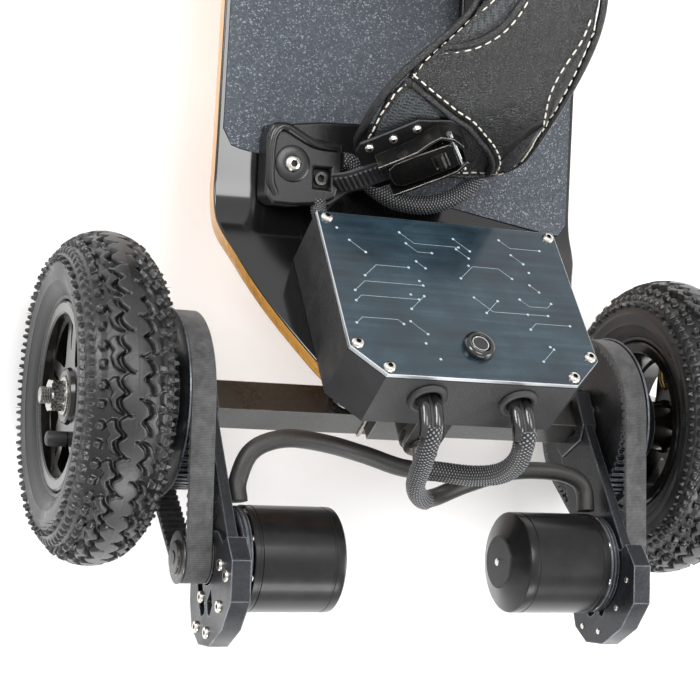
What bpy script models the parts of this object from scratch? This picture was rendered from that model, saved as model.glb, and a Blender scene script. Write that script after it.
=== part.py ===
"""Electric mountain board: a bent deck on two sprung trucks, four pneumatic wheels and a twin belt drive.

World frame: +X right, +Y towards the nose, +Z up, Z = 0 on the floor, in metres.
Each end of the board is laid out in its own frame: the origin is on the deck's top face at the bend,
-Y runs outward from the bend and +Z up. The front end is that frame turned half a turn about Z.
A tip frame is an end frame tilted with the deck's tip, so that its -Y runs along the tip.
"""

import math

import bmesh
import bpy
from mathutils import Matrix, Vector

MM = 0.001
GAP = 0.3 * MM

# Deck
DECK_TOP = 90 * MM
DECK_THICKNESS = 11 * MM
DECK_FLAT = 660 * MM
# From the middle of the board's outline to the middle of the deck's flat
BOARD_SHIFT = 20.8 * MM
DECK_BEND_RADIUS = 45 * MM
TIP_ANGLE = math.radians(38)
TIP_LENGTH = 150 * MM
WAIST_HALF = 125 * MM
BEND_HALF = 126.5 * MM
GRIP_THICKNESS = 1 * MM
# The tape's slanted end across the board, from its left edge to its right one
GRIP_END = [(-122.5, 38.4), (17.5, 16), (122.5, 16)]

# Wheels and axles, in an end frame
AXLE = Vector((0, -123.5 * MM, 10 * MM))
TRACK_HALF = 198 * MM
WHEEL_RADIUS = 100 * MM
WHEEL_STEPS = 24
RIM_RADIUS = 53.3 * MM
BEARING_RADIUS = 11 * MM
AXLE_RADIUS = 5 * MM
AXLE_END = 230 * MM

# Trucks, in a tip frame
KINGPIN_HEIGHT = -45 * MM
KINGPIN_RADIUS = 5 * MM
BAR_SIZE = (22 * MM, 20 * MM)
BAR_HALF = 137.2 * MM
SPRING_X = 38 * MM

# Drive: centres and turned radii
MOTOR_ANGLE = math.radians(28.5)
MOTOR_CENTRES = 102.2 * MM
WHEEL_PULLEY_RADIUS = 53.4 * MM
MOTOR_PULLEY_RADIUS = 12.1 * MM
BELT_GAP = 0.4 * MM
BELT_THICKNESS = 2.4 * MM
BELT_WIDTH = 15 * MM
BELT_X = 146 * MM
MOTOR_RADIUS = 31.5 * MM
MOUNT_INNER_X = 125 * MM
MOUNT_THICKNESS = 12 * MM
# Motor mount outline, along the line from axle to motor and across it
MOUNT_OUTLINE = [(-20, -15), (-20, 10), (-12, 19), (12, 19), (67, 26), (106, 31), (105, 38), (121, 42),
                 (142, 32), (151, 12), (152, -13), (144, -31), (130, -40), (114, -38), (84, -24), (12, -17)]

# Controller case, in the rear tip frame
CASE_HALF = 80.75 * MM
CASE_START = 40.8 * MM
CASE_END = 163.5 * MM
CASE_CHAMFER = 19.3 * MM
CASE_HEIGHT = 41.5 * MM
CASE_WALL = 3.5 * MM
COVER_THICKNESS = 3.2 * MM
BUTTON_AT = (1.4 * MM, -139.7 * MM)
BUTTON_RADIUS = 5.6 * MM
BUTTON_TRAVEL = 1.5 * MM
GROMMET_X = 29.5 * MM
GROMMET_HEIGHT = 26 * MM
PHASE_CABLE_RADIUS = 6.5 * MM

# Battery case, in the rear end frame
BATTERY_SIZE = (200 * MM, 112 * MM, 74 * MM)
BATTERY_LID = 4 * MM
LEAD_RADIUS = 6 * MM
LEAD_X = 56 * MM

# Bindings, in the frame of the nearer end
STRAP_Y = 137 * MM
STRAP_HALF = 100 * MM
STRAP_LOW = 28 * MM
STRAP_RISE = 80 * MM
STRAP_THICKNESS = 11 * MM
BASE_TOP = 9 * MM
RATCHET_TILT = math.radians(52)
RATCHET_TURN = math.radians(38)
LEVER_HINGE_X = 22 * MM

COLOURS = {
    "wood": ((0.62, 0.36, 0.12), 0.35, 0.0),
    "grip": ((0.09, 0.10, 0.12), 0.9, 0.0),
    "black_case": ((0.02, 0.02, 0.02), 0.6, 0.0),
    "blue_cover": ((0.03, 0.07, 0.11), 0.25, 0.0),
    "steel": ((0.75, 0.74, 0.72), 0.3, 1.0),
    "black_steel": ((0.03, 0.03, 0.03), 0.4, 1.0),
    "black_plastic": ((0.02, 0.02, 0.02), 0.45, 0.0),
    "anodised": ((0.03, 0.03, 0.035), 0.35, 1.0),
    "rubber": ((0.02, 0.02, 0.02), 0.7, 0.0),
    "tyre": ((0.03, 0.03, 0.03), 0.65, 0.0),
    "leather": ((0.025, 0.025, 0.027), 0.5, 0.0),
    "cell_wrap": ((0.05, 0.12, 0.3), 0.4, 0.0),
}


def material(name):
    """The named finish, made on first use."""
    found = bpy.data.materials.get(name)
    if found:
        return found
    colour, roughness, metallic = COLOURS[name]
    made = bpy.data.materials.new(name)
    made.use_nodes = True
    shader = made.node_tree.nodes["Principled BSDF"]
    shader.inputs["Base Color"].default_value = (*colour, 1)
    shader.inputs["Roughness"].default_value = roughness
    shader.inputs["Metallic"].default_value = metallic
    made.diffuse_color = (*colour, 1)
    return made


def add(name, data, finish, parent, at=(0, 0, 0), turn=(0, 0, 0)):
    """An object in the board's collection, or a cutter when finish is None."""
    obj = bpy.data.objects.new(name, data)
    if finish:
        data.materials.append(material(finish))
        BOARD.objects.link(obj)
    else:
        CUTTERS.objects.link(obj)
        obj.hide_render = True
        obj.display_type = "WIRE"
    obj.parent = parent
    obj.location = at
    obj.rotation_euler = turn
    return obj


def frame(name, parent, at=(0, 0, 0), turn=(0, 0, 0)):
    """An empty that carries pieces."""
    obj = bpy.data.objects.new(name, None)
    BOARD.objects.link(obj)
    obj.parent = parent
    obj.location = at
    obj.rotation_euler = turn
    return obj


def mesh_from(name, build):
    """A mesh made by a function that fills a bmesh."""
    bm = bmesh.new()
    build(bm)
    mesh = bpy.data.meshes.new(name)
    bm.to_mesh(mesh)
    bm.free()
    return mesh


def block(name, size, finish, parent, at=(0, 0, 0), turn=(0, 0, 0), bevel=0.0):
    """A box of the given size about its own centre."""
    scale = Matrix.Diagonal((*size, 1))
    mesh = mesh_from(name, lambda bm: bmesh.ops.create_cube(bm, size=1, matrix=scale))
    obj = add(name, mesh, finish, parent, at, turn)
    if bevel:
        soften(obj, bevel)
    return obj


def rod(name, radius, ends, finish, parent, at=(0, 0, 0), axis="X", steps=24):
    """A cylinder from ends[0] to ends[1] along an axis through the point at."""
    low, high = min(ends), max(ends)
    spin = {"X": Matrix.Rotation(math.pi / 2, 4, "Y"), "Y": Matrix.Rotation(-math.pi / 2, 4, "X"), "Z": Matrix()}
    shift = {"X": (1, 0, 0), "Y": (0, 1, 0), "Z": (0, 0, 1)}[axis]
    where = Matrix.Translation(Vector(shift) * (low + high) / 2) @ spin[axis]
    mesh = mesh_from(name, lambda bm: bmesh.ops.create_cone(
        bm, cap_ends=True, segments=steps, radius1=radius, radius2=radius, depth=high - low, matrix=where))
    mesh.shade_smooth()
    mesh.set_sharp_from_angle(angle=math.radians(35))
    return add(name, mesh, finish, parent, at)


def turned(name, profile, finish, parent, at=(0, 0, 0), turn=(0, 0, 0), steps=32, closed=True, phase=0.0):
    """A lathe shape about Z from (radius, height) points that run down the outer side."""
    bm = bmesh.new()
    verts = [bm.verts.new((r * math.cos(phase), r * math.sin(phase), z)) for r, z in profile]
    pairs = list(zip(verts, verts[1:]))
    if closed:
        pairs.append((verts[-1], verts[0]))
    for a, b in pairs:
        bm.edges.new((a, b))
    mesh = bpy.data.meshes.new(name)
    bm.to_mesh(mesh)
    bm.free()
    obj = add(name, mesh, finish, parent, at, turn)
    screw = obj.modifiers.new("turn", "SCREW")
    screw.steps = steps
    screw.render_steps = steps
    screw.use_merge_vertices = True
    screw.merge_threshold = 0.00001
    screw.use_smooth_shade = True
    return obj


def tube(name, points, radius, finish, parent, resolution=2):
    """A round tube through points, with filled caps."""
    curve = bpy.data.curves.new(name, "CURVE")
    curve.dimensions = "3D"
    curve.bevel_depth = radius
    curve.bevel_resolution = resolution
    curve.use_fill_caps = True
    spline = curve.splines.new("POLY")
    spline.points.add(len(points) - 1)
    for point, co in zip(spline.points, points):
        point.co = (*co, 1)
    return add(name, curve, finish, parent)


def welded(obj, finish):
    """The mesh of a curve object, with its caps welded, in the curve's place."""
    graph = bpy.context.evaluated_depsgraph_get()
    mesh = bpy.data.meshes.new_from_object(obj.evaluated_get(graph))
    bm = bmesh.new()
    bm.from_mesh(mesh)
    bmesh.ops.remove_doubles(bm, verts=bm.verts, dist=0.00001)
    bm.to_mesh(mesh)
    bm.free()
    mesh.materials.clear()
    parent, at, turn, name = obj.parent, obj.location.copy(), obj.rotation_euler.copy(), obj.name
    bpy.data.objects.remove(obj)
    made = add(name, mesh, finish, parent, at, turn)
    made.name = name
    return made


def plate(name, outlines, thickness, finish, parent, at=(0, 0, 0), turn=(0, 0, 0), smooth=False):
    """A flat outline in XY, with any holes as further outlines, about the plane through at."""
    curve = bpy.data.curves.new(name, "CURVE")
    curve.dimensions = "2D"
    curve.fill_mode = "BOTH"
    curve.extrude = thickness / 2
    for outline in outlines:
        if smooth:
            spline = curve.splines.new("BEZIER")
            spline.bezier_points.add(len(outline) - 1)
            for point, co in zip(spline.bezier_points, outline):
                point.co = (*co, 0)
                point.handle_left_type = point.handle_right_type = "AUTO"
            spline.resolution_u = 3
        else:
            spline = curve.splines.new("POLY")
            spline.points.add(len(outline) - 1)
            for point, co in zip(spline.points, outline):
                point.co = (*co, 0, 1)
        spline.use_cyclic_u = True
    curve.resolution_u = 3
    return welded(add(name, curve, finish, parent, at, turn), finish)


def soften(obj, width, segments=1):
    """A small rounding of the sharp edges."""
    bevel = obj.modifiers.new("edges", "BEVEL")
    bevel.width = width
    bevel.segments = segments
    bevel.limit_method = "ANGLE"
    bevel.angle_limit = math.radians(40)


def combine(obj, other, operation):
    step = obj.modifiers.new(operation.lower(), "BOOLEAN")
    step.operation = operation
    step.object = other


def cut(obj, *others):
    for other in others:
        combine(obj, other, "DIFFERENCE")


def join(obj, *others):
    for other in others:
        combine(obj, other, "UNION")


def arc(centre, radius, start, end, count):
    """Points along an arc, its ends included."""
    angles = [start + (end - start) * i / count for i in range(count + 1)]
    return [(centre[0] + radius * math.cos(a), centre[1] + radius * math.sin(a)) for a in angles]


def smooth_path(points, per_span):
    """Points on a Catmull-Rom curve through the given ones."""
    knots = [Vector(p) * MM for p in points]
    knots = [2 * knots[0] - knots[1], *knots, 2 * knots[-1] - knots[-2]]
    path = []
    for a, b, c, d in zip(knots, knots[1:], knots[2:], knots[3:]):
        for i in range(per_span):
            t = i / per_span
            path.append(0.5 * (2 * b + (c - a) * t + (2 * a - 5 * b + 4 * c - d) * t * t
                               + (3 * b - a - 3 * c + d) * t ** 3))
    path.append(knots[-2])
    return path


def drive_point(along, across):
    """A point of an axle-to-motor frame as (y, z) in the end frame."""
    y = AXLE.y - along * math.cos(MOTOR_ANGLE) + across * math.sin(MOTOR_ANGLE)
    z = AXLE.z + along * math.sin(MOTOR_ANGLE) + across * math.cos(MOTOR_ANGLE)
    return y, z


def deck_half_outline():
    """(half width, y) points of the deck in plan from the tail's centre line to the middle, in the rear end frame."""
    cosine = math.cos(TIP_ANGLE)
    tip = [(40, 150), (58, 144), (70, 134), (80, 121), (96.5, 91), (109, 63.5), (118.5, 37), (125.2, 17)]
    points = [(half * MM, -along * MM * cosine) for half, along in tip]
    return points + [(BEND_HALF, 4 * MM), (126 * MM, 60 * MM), (WAIST_HALF, DECK_FLAT / 2)]


def make_deck(root):
    """Side profile extruded across, cut to the plan outline."""
    reach = DECK_BEND_RADIUS * math.tan(TIP_ANGLE / 2)

    def profile(offset):
        """Rear half of one face, from the tip's end to the middle."""
        end = Vector((-TIP_LENGTH * math.cos(TIP_ANGLE), TIP_LENGTH * math.sin(TIP_ANGLE)))
        end -= Vector((math.sin(TIP_ANGLE), math.cos(TIP_ANGLE))) * offset
        bend = arc((reach, DECK_BEND_RADIUS), DECK_BEND_RADIUS + offset, -math.pi / 2 - TIP_ANGLE, -math.pi / 2, 6)
        return [tuple(end), *bend]

    top, under = profile(0), profile(DECK_THICKNESS)
    far = DECK_FLAT
    outline = top + [(far - y, z) for y, z in reversed(top)] + [(far - y, z) for y, z in under] + under[::-1]
    # The outline lies in the world's YZ plane: its x runs along Y and its y up
    deck = plate("deck", [outline], 0.4, "wood", root, turn=(math.pi / 2, 0, math.pi / 2))
    quarter = deck_half_outline()
    side = quarter + [(half, far - y) for half, y in reversed(quarter[:-1])]
    plan = side + [(-half, y) for half, y in reversed(side)]
    shape = plate("deck_plan", [plan], 0.5, None, root, smooth=True)
    combine(deck, shape, "INTERSECT")
    near = [(x * MM, y * MM) for x, y in GRIP_END]
    edge = [(half - 4 * MM, y) for half, y in side if 50 * MM < y < far - 50 * MM]
    tape = near + edge + [(x, far - y) for x, y in reversed(near)] + [(-half, y) for half, y in reversed(edge)]
    plate("grip_tape", [tape], GRIP_THICKNESS, "grip", root, at=(0, 0, GAP + GRIP_THICKNESS / 2))


def case_outline(grow=0.0):
    """The controller case in plan, in the tip frame."""
    half, start, end, c = CASE_HALF + grow, -CASE_START + grow, -CASE_END - grow, CASE_CHAMFER + 0.4 * grow
    return [(-half, start), (-half, end + c), (-half + c, end), (half - c, end), (half, end + c), (half, start)]


def make_controller(tip):
    """Case, cover, push button, grommets and the motor controller on the rear tip."""
    floor = GAP + 0.1 * MM
    case = plate("controller_case", [case_outline()], CASE_HEIGHT - floor, "black_case", tip,
                 at=(0, 0, (CASE_HEIGHT + floor) / 2))
    hollow = plate("case_hollow", [case_outline(-CASE_WALL)], CASE_HEIGHT, None, tip,
                   at=(0, 0, CASE_HEIGHT / 2 + 3 * MM))
    cut(case, hollow)
    for side, name in ((-1, "left"), (1, "right")):
        x = side * GROMMET_X
        hole = rod(f"grommet_hole_{name}", 9.3 * MM, (-CASE_END - 4 * MM, -CASE_END + 8 * MM), None, tip,
                   at=(x, 0, GROMMET_HEIGHT), axis="Y")
        cut(case, hole)
        ring = [(8.8, 5.5), (8.8, 0.3), (11.8, 0.3), (11.8, -1.2), (9.5, -2.6), (7.4, -2.6), (7.4, 5.5)]
        ring = [(r * MM, z * MM) for r, z in ring]
        turned(f"cable_grommet_{name}", ring, "rubber", tip, at=(x, -CASE_END - 0.6 * MM, GROMMET_HEIGHT),
               turn=(-math.pi / 2, 0, 0), steps=16)
    cut(case, rod("lead_hole", 6.5 * MM, (-CASE_START - 8 * MM, -CASE_START + 4 * MM), None, tip,
                  at=(-60 * MM, 0, 20 * MM), axis="Y", steps=16))
    base = CASE_HEIGHT + GAP
    cover = plate("controller_cover", [case_outline()], COVER_THICKNESS, "blue_cover", tip,
                  at=(0, 0, base + COVER_THICKNESS / 2))
    cut(cover, rod("button_hole", 8.3 * MM, (0, 80 * MM), None, tip, at=(*BUTTON_AT, 0), axis="Z"))
    top = base + COVER_THICKNESS + GAP
    bezel = [(9.6, 2.2), (9.6, 0), (8, 0), (8, -14), (0, -14), (0, -6), (6, -6), (6, 3.2), (8.4, 3.2)]
    turned("button_bezel", [(r * MM, z * MM) for r, z in bezel], "black_steel", tip, at=(*BUTTON_AT, top),
           steps=20)
    rod("power_button", BUTTON_RADIUS, (-6 * MM + BUTTON_TRAVEL + 0.8 * MM, 2.8 * MM), "black_steel", tip,
        at=(*BUTTON_AT, top), axis="Z")
    block("motor_controller", (120 * MM, 70 * MM, 26 * MM), "anodised", tip, at=(0, -97 * MM, 18 * MM), bevel=2 * MM)


def make_battery(end):
    """Case, lid and cell pack in the middle of the deck."""
    width, depth, height = BATTERY_SIZE
    floor = GRIP_THICKNESS + 2 * GAP
    at = Vector((0, DECK_FLAT / 2, floor))
    case = block("battery_case", (width, depth, height), "black_case", end, at=at + Vector((0, 0, height / 2)),
                 bevel=6 * MM)
    wall = 4 * MM
    hollow = block("battery_hollow", (width - 2 * wall, depth - 2 * wall, height), None, end,
                   at=at + Vector((0, 0, height / 2 + wall)))
    cut(case, hollow)
    cut(case, rod("battery_port", LEAD_RADIUS + 1 * MM, (-depth / 2 - 5 * MM, -depth / 2 + 10 * MM), None, end,
                  at=at + Vector((LEAD_X, 0, 11 * MM)), axis="Y", steps=16))
    block("battery_lid", (width, depth, BATTERY_LID), "black_plastic", end,
          at=at + Vector((0, 0, height + GAP + BATTERY_LID / 2)), bevel=1.2 * MM)
    block("battery_pack", (width - 24 * MM, depth - 34 * MM, 60 * MM), "cell_wrap", end,
          at=at + Vector((0, 6 * MM, wall + 1 * MM + 30 * MM)), bevel=3 * MM)


def make_leads(end):
    """Power lead and motor cables, each a plain tube along its route."""
    loop = [(56, 279, 12.6), (56, 268, 12.6), (56, 245, 10.2), (56, 190, 8.5), (56, 110, 8.5), (58, 76, 9),
            (56, 55, 11), (48, 34, 14), (33, 19, 16), (12, 11, 17), (-8, 11.5, 17), (-24, 18, 16.5), (-36, 28, 16),
            (-43, 32.5, 16), (-48.6, 33, 16)]
    tube("battery_lead", smooth_path(loop, 2), LEAD_RADIUS, "rubber", end)
    link = [(-62, 7.6, 14.8), (-62, 1.5, 15.2), (-61.5, -6, 21.8), (-61, -11, 30), (-60, -16.7, 38.4), (-60, -22.6, 43)]
    tube("controller_lead", smooth_path(link, 3), LEAD_RADIUS - 1 * MM, "rubber", end)
    for name, route in PHASE_ROUTES.items():
        tube(name, smooth_path(route, 2), PHASE_CABLE_RADIUS, "rubber", end)


# Motor cables, in the rear end frame, from their grommet to the motor's base, in mm
PHASE_ROUTES = {
    "phase_cable_right": [(-29.5, -109.3, 118.4), (-29.5, -114.9, 122.7), (-29.5, -120, 126.7), (-29.5, -134, 129),
                          (-28, -150, 117), (-22, -165, 95), (-8, -174, 74), (10, -174, 56), (36, -166, 46),
                          (68, -157, 45), (96, -156, 49), (112, -160, 51), (118, -168, 52), (118, -180.1, 55)],
    "phase_cable_left": [(29.5, -109.3, 118.4), (29.5, -114.9, 122.7), (29.5, -120, 126.7), (31, -133, 128.5),
                         (34, -147, 117), (33, -156, 98), (24, -159, 78), (8, -158, 60), (-10, -157, 48),
                         (-34, -150, 43), (-62, -144, 47), (-90, -142, 52), (-110, -150, 52),
                         (-118, -168, 52), (-118, -180.1, 55)],
}


def make_truck(place, tip):
    """Base with two ears, kingpin, two springs and the hanger of one truck."""
    under = -DECK_THICKNESS - GAP
    axle_along = -(Matrix.Rotation(TIP_ANGLE, 3, "X") @ AXLE).y
    axle_height = (Matrix.Rotation(TIP_ANGLE, 3, "X") @ AXLE).z
    pin = (0, 0, KINGPIN_HEIGHT)
    base = block(f"{place}_truck_base", (56 * MM, 90 * MM, 6 * MM), "black_steel", tip,
                 at=(0, -axle_along, under - 3 * MM))
    wings = block(f"{place}_base_wings", (104 * MM, 34 * MM, 6 * MM), None, tip, at=(0, -axle_along, under - 3 * MM))
    join(base, wings)
    for label, along in (("inner", axle_along - 38 * MM), ("outer", axle_along + 38 * MM)):
        drop = -(KINGPIN_HEIGHT - under)
        ear = block(f"{place}_{label}_ear", (24 * MM, 8 * MM, drop), None, tip, at=(0, -along, under - drop / 2))
        nose = rod(f"{place}_{label}_nose", 12 * MM, (-along - 4 * MM, -along + 4 * MM), None, tip, at=pin, axis="Y")
        join(base, ear, nose)
    cut(base, rod(f"{place}_pin_hole", KINGPIN_RADIUS + GAP, (-180 * MM, 0), None, tip, at=pin, axis="Y"))
    kingpin = rod(f"{place}_kingpin", KINGPIN_RADIUS, (-axle_along - 47 * MM, -axle_along + 47 * MM), "steel", tip,
                  at=pin, axis="Y", steps=16)
    join(kingpin, rod(f"{place}_pin_head", 8.5 * MM, (-axle_along + 43 * MM, -axle_along + 49 * MM), None, tip,
                      at=pin, axis="Y", steps=6))

    hanger = block(f"{place}_hanger", (2 * BAR_HALF, *BAR_SIZE), "black_steel", tip, at=(0, -axle_along, axle_height))
    sleeve = rod(f"{place}_sleeve", 13 * MM, (-axle_along - 33.5 * MM, -axle_along + 33.5 * MM), None, tip, at=pin,
                 axis="Y")
    web = block(f"{place}_web", (46 * MM, 40 * MM, 22 * MM), None, tip, at=(0, -axle_along, axle_height + 8 * MM))
    join(hanger, sleeve, web)
    for side, name in ((-1, "left"), (1, "right")):
        stub = rod(f"{place}_stub_{name}", AXLE_RADIUS, (side * 130 * MM, side * AXLE_END), None, tip,
                   at=(0, -axle_along, axle_height), steps=16)
        join(hanger, stub)
    cut(hanger, rod(f"{place}_sleeve_bore", KINGPIN_RADIUS + GAP, (-200 * MM, 0), None, tip, at=pin, axis="Y"))

    low = axle_height + BAR_SIZE[1] / 2
    high = under - 6 * MM
    wire = 1.6 * MM
    for side, name in ((-1, "left"), (1, "right")):
        count = 36
        span = high - low - 2 * (wire + GAP)
        coil = []
        for i in range(count + 1):
            angle = 2 * math.pi * 4.4 * i / count
            coil.append((side * SPRING_X + 9.5 * MM * math.cos(angle), -axle_along + 9.5 * MM * math.sin(angle),
                         low + wire + GAP + span * i / count))
        tube(f"{place}_spring_{name}", coil, wire, "steel", tip, resolution=0)


def make_wheel(name, hub, outward):
    """Tyre, rim and outer bearing about the axle. The outer side faces outward, +1 or -1 along X."""
    turn = (0, outward * math.pi / 2, 0)
    half_step = math.pi / WHEEL_STEPS
    tread = WHEEL_RADIUS / math.cos(half_step)
    skin = [(54.2, 18.4), (57.6, 18.4), (64, 24), (77, 27.5), (90, 24), (98, 12.5), (tread / MM, 0)]
    skin += [(r, -z) for r, z in reversed(skin[:-1])]
    inner = [(54.2, -12), (68, -20), (91, 0), (68, 20), (54.2, 12)]
    turned(f"{name}_tyre", [(r * MM, z * MM) for r, z in skin + inner], "tyre", hub, turn=turn, steps=WHEEL_STEPS,
           phase=half_step)
    barrel = [(56.5, 20.6), (56.5, 19.2), (53.3, 19.2), (53.3, -19.2), (56.5, -19.2), (56.5, -20.6), (49, -20.6),
              (49, 20.6)]
    rim = turned(f"{name}_rim", [(r * MM, z * MM) for r, z in barrel], "black_steel", hub, turn=turn, steps=WHEEL_STEPS)
    centre = turned(f"{name}_rim_hub", [(17 * MM, 17 * MM), (17 * MM, -19 * MM), (11.3 * MM, -19 * MM),
                                        (11.3 * MM, 17 * MM)], None, hub, turn=turn, steps=20)
    for i in range(5):
        angle = 2 * math.pi * (i + 0.5) / 5
        reach = 33 * MM
        spoke = block(f"{name}_spoke_{i}", (9 * MM, 11 * MM, 37 * MM), None, hub,
                      at=(outward * 10 * MM, reach * math.sin(angle), reach * math.cos(angle)), turn=(-angle, 0, 0))
        join(rim, spoke)
    join(rim, centre)
    ring = [(11, 16.5), (11, 9.5), (5.3, 9.5), (5.3, 16.5)]
    turned(f"{name}_bearing", [(r * MM, z * MM) for r, z in ring], "steel", hub, turn=turn, steps=20)


def belt_outline(grow):
    """The belt's loop round both pulleys, the given distance outside them, in (along, across)."""
    big, small = WHEEL_PULLEY_RADIUS + grow, MOTOR_PULLEY_RADIUS + grow
    lean = math.acos((big - small) / MOTOR_CENTRES)
    round_wheel = arc((0, 0), big, lean, 2 * math.pi - lean, 26)
    round_motor = arc((MOTOR_CENTRES, 0), small, -lean, lean, 8)
    return round_wheel + round_motor


def in_drive_plane(points):
    """Axle-to-motor points as outline points of a plate that stands in the YZ plane."""
    return [drive_point(along, across) for along, across in points]


def make_drive(name, side, end):
    """Motor, mount, pulleys and belt of one rear wheel."""
    upright = (math.pi / 2, 0, math.pi / 2)
    motor_y, motor_z = drive_point(MOTOR_CENTRES, 0)
    axis = (0, motor_y, motor_z)
    outline = in_drive_plane([(a * MM, b * MM) for a, b in MOUNT_OUTLINE])
    mount = plate(f"motor_mount_{name}", [outline], MOUNT_THICKNESS, "anodised", end,
                  at=(side * (MOUNT_INNER_X + MOUNT_THICKNESS / 2), 0, 0), turn=upright)
    bar_hole = block(f"mount_clamp_{name}", (40 * MM, BAR_SIZE[0] + 2 * GAP, BAR_SIZE[1] + 2 * GAP), None, end,
                     at=(side * MOUNT_INNER_X, AXLE.y, AXLE.z), turn=(-TIP_ANGLE, 0, 0))
    shaft_hole = rod(f"mount_shaft_hole_{name}", 16 * MM, (side * 100 * MM, side * 160 * MM), None, end, at=axis)
    cut(mount, bar_hole, shaft_hole)

    stator = [(30.5, 6.4), (30.5, 0), (4.6, 0), (4.6, 6.4)]
    inward = (0, -side * math.pi / 2, 0)
    base_x = side * (MOUNT_INNER_X - GAP)
    turned(f"motor_base_{name}", [(r * MM, z * MM) for r, z in stator], "anodised", end, at=(base_x, motor_y, motor_z),
           turn=inward, steps=32)
    can = [(16, 70), (31.5, 64), (31.5, 7), (4, 7), (4, -33), (0, -33)]
    turned(f"motor_rotor_{name}", [(0, 70 * MM), *[(r * MM, z * MM) for r, z in can]], "anodised", end,
           at=(base_x, motor_y, motor_z), turn=inward, steps=32, closed=False)

    flange = (BELT_WIDTH + 1 * MM) / 2
    radius = MOTOR_PULLEY_RADIUS
    small = [(15.2 * MM, flange + 1.4 * MM), (15.2 * MM, flange), (radius, flange), (radius, -flange),
             (15.2 * MM, -flange), (15.2 * MM, -flange - 1.4 * MM), (4.3 * MM, -flange - 1.4 * MM),
             (4.3 * MM, flange + 1.4 * MM)]
    out = (0, side * math.pi / 2, 0)
    turned(f"motor_pulley_{name}", small, "steel", end, at=(side * BELT_X, motor_y, motor_z), turn=out, steps=16)
    radius = WHEEL_PULLEY_RADIUS
    face = flange + 1.2 * MM
    large = [(29 * MM, 32 * MM), (29 * MM, face), (57.5 * MM, face), (57.5 * MM, flange), (radius, flange),
             (radius, -flange), (6 * MM, -flange), (6 * MM, 32 * MM)]
    turned(f"wheel_pulley_{name}", large, "anodised", end, at=(side * BELT_X, AXLE.y, AXLE.z), turn=out, steps=32)
    loops = [in_drive_plane(belt_outline(BELT_GAP + BELT_THICKNESS)), in_drive_plane(belt_outline(BELT_GAP))]
    plate(f"drive_belt_{name}", loops, BELT_WIDTH, "rubber", end, at=(side * BELT_X, 0, 0), turn=upright)


def strap_surface(hand):
    """The strap pad's middle surface: it arches over the foot, and its middle leans to +X."""
    rows, columns = 16, 4

    def point(row, column):
        t = 2 * row / rows - 1
        q = 2 * column / columns - 1
        crest = max(0, 1 - t * t) ** 4
        middle = (10 + 30 * crest) * MM
        half = (59 - 22 * crest - 24 * max(0, abs(t) - 0.82) / 0.18) * MM
        height = STRAP_LOW + (STRAP_RISE + 10 * MM * q) * (1 - abs(t) ** 2.2)
        return middle + q * half, hand * (STRAP_Y + STRAP_HALF * t), height

    bm = bmesh.new()
    grid = [[bm.verts.new(point(r, c)) for c in range(columns + 1)] for r in range(rows + 1)]
    for r in range(rows):
        for c in range(columns):
            corners = [grid[r][c], grid[r][c + 1], grid[r + 1][c + 1], grid[r + 1][c]]
            bm.faces.new(corners if hand > 0 else corners[::-1])
    mesh = bpy.data.meshes.new("strap_surface")
    bm.to_mesh(mesh)
    bm.free()
    return mesh


def make_binding(place, end, hand):
    """Base, strap pad, ladder strap and ratchet. hand is +1 when +Y of the frame runs towards the board's middle."""
    floor = GRIP_THICKNESS + 2 * GAP
    near = [(-98, 10), (-92, 4.5), (-52, 4.5), (-40, 14), (-14, 20), (-8, 48), (40, 48)]
    rail = [(x * MM, hand * y * MM) for x, y in near]
    far = [(x * MM, hand * (2 * STRAP_Y - y * MM)) for x, y in reversed(near)]
    inside = [(-98 * MM, hand * (2 * STRAP_Y - 52 * MM)), (-60 * MM, hand * (2 * STRAP_Y - 62 * MM)),
              (-22 * MM, hand * (2 * STRAP_Y - 66 * MM)), (-22 * MM, hand * 66 * MM), (-60 * MM, hand * 62 * MM),
              (-98 * MM, hand * 52 * MM)]
    base = plate(f"{place}_binding_base", [rail + far + inside], BASE_TOP - floor, "black_plastic", end,
                 at=(0, 0, (BASE_TOP + floor) / 2))
    for label, y in (("near", 30 * MM), ("far", 2 * STRAP_Y - 30 * MM)):
        pad = block(f"{place}_{label}_block", (46 * MM, 44 * MM, 22 * MM), None, end,
                    at=(-72 * MM, hand * y, floor + 11.2 * MM))
        join(base, pad)
    strap = add(f"{place}_binding_strap", strap_surface(hand), "leather", end)
    shell = strap.modifiers.new("thickness", "SOLIDIFY")
    shell.thickness = STRAP_THICKNESS
    shell.offset = 0
    # The ratchet lies on the pad's near slope, turned in that slope so that it points down to its block
    slope = frame(f"{place}_slope", end, at=(-9 * MM, hand * 40 * MM, 47 * MM), turn=(hand * RATCHET_TILT, 0, 0))
    seat = frame(f"{place}_seat", slope, turn=(0, 0, hand * RATCHET_TURN))
    body = block(f"{place}_ratchet_buckle", (62 * MM, 30 * MM, 2.5 * MM), "black_steel", seat,
                 at=(0, 0, 1.25 * MM))
    for label, y in (("low", -13.5 * MM), ("high", 13.5 * MM)):
        cheek = block(f"{place}_{label}_cheek", (50 * MM, 3 * MM, 14 * MM), None, seat, at=(0, y, 7 * MM))
        join(body, cheek)
    hinge = frame(f"{place}_lever_hinge", seat, at=(LEVER_HINGE_X, 0, 11.5 * MM))
    block(f"{place}_ratchet_lever", (46 * MM, 23 * MM, 3 * MM), "black_steel", hinge, at=(-21 * MM, 0, 0),
          bevel=0.8 * MM)
    block(f"{place}_ladder_strap", (60 * MM, 18 * MM, 2.2 * MM), "rubber", seat, at=(-19 * MM, 0, 4.4 * MM))


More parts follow.
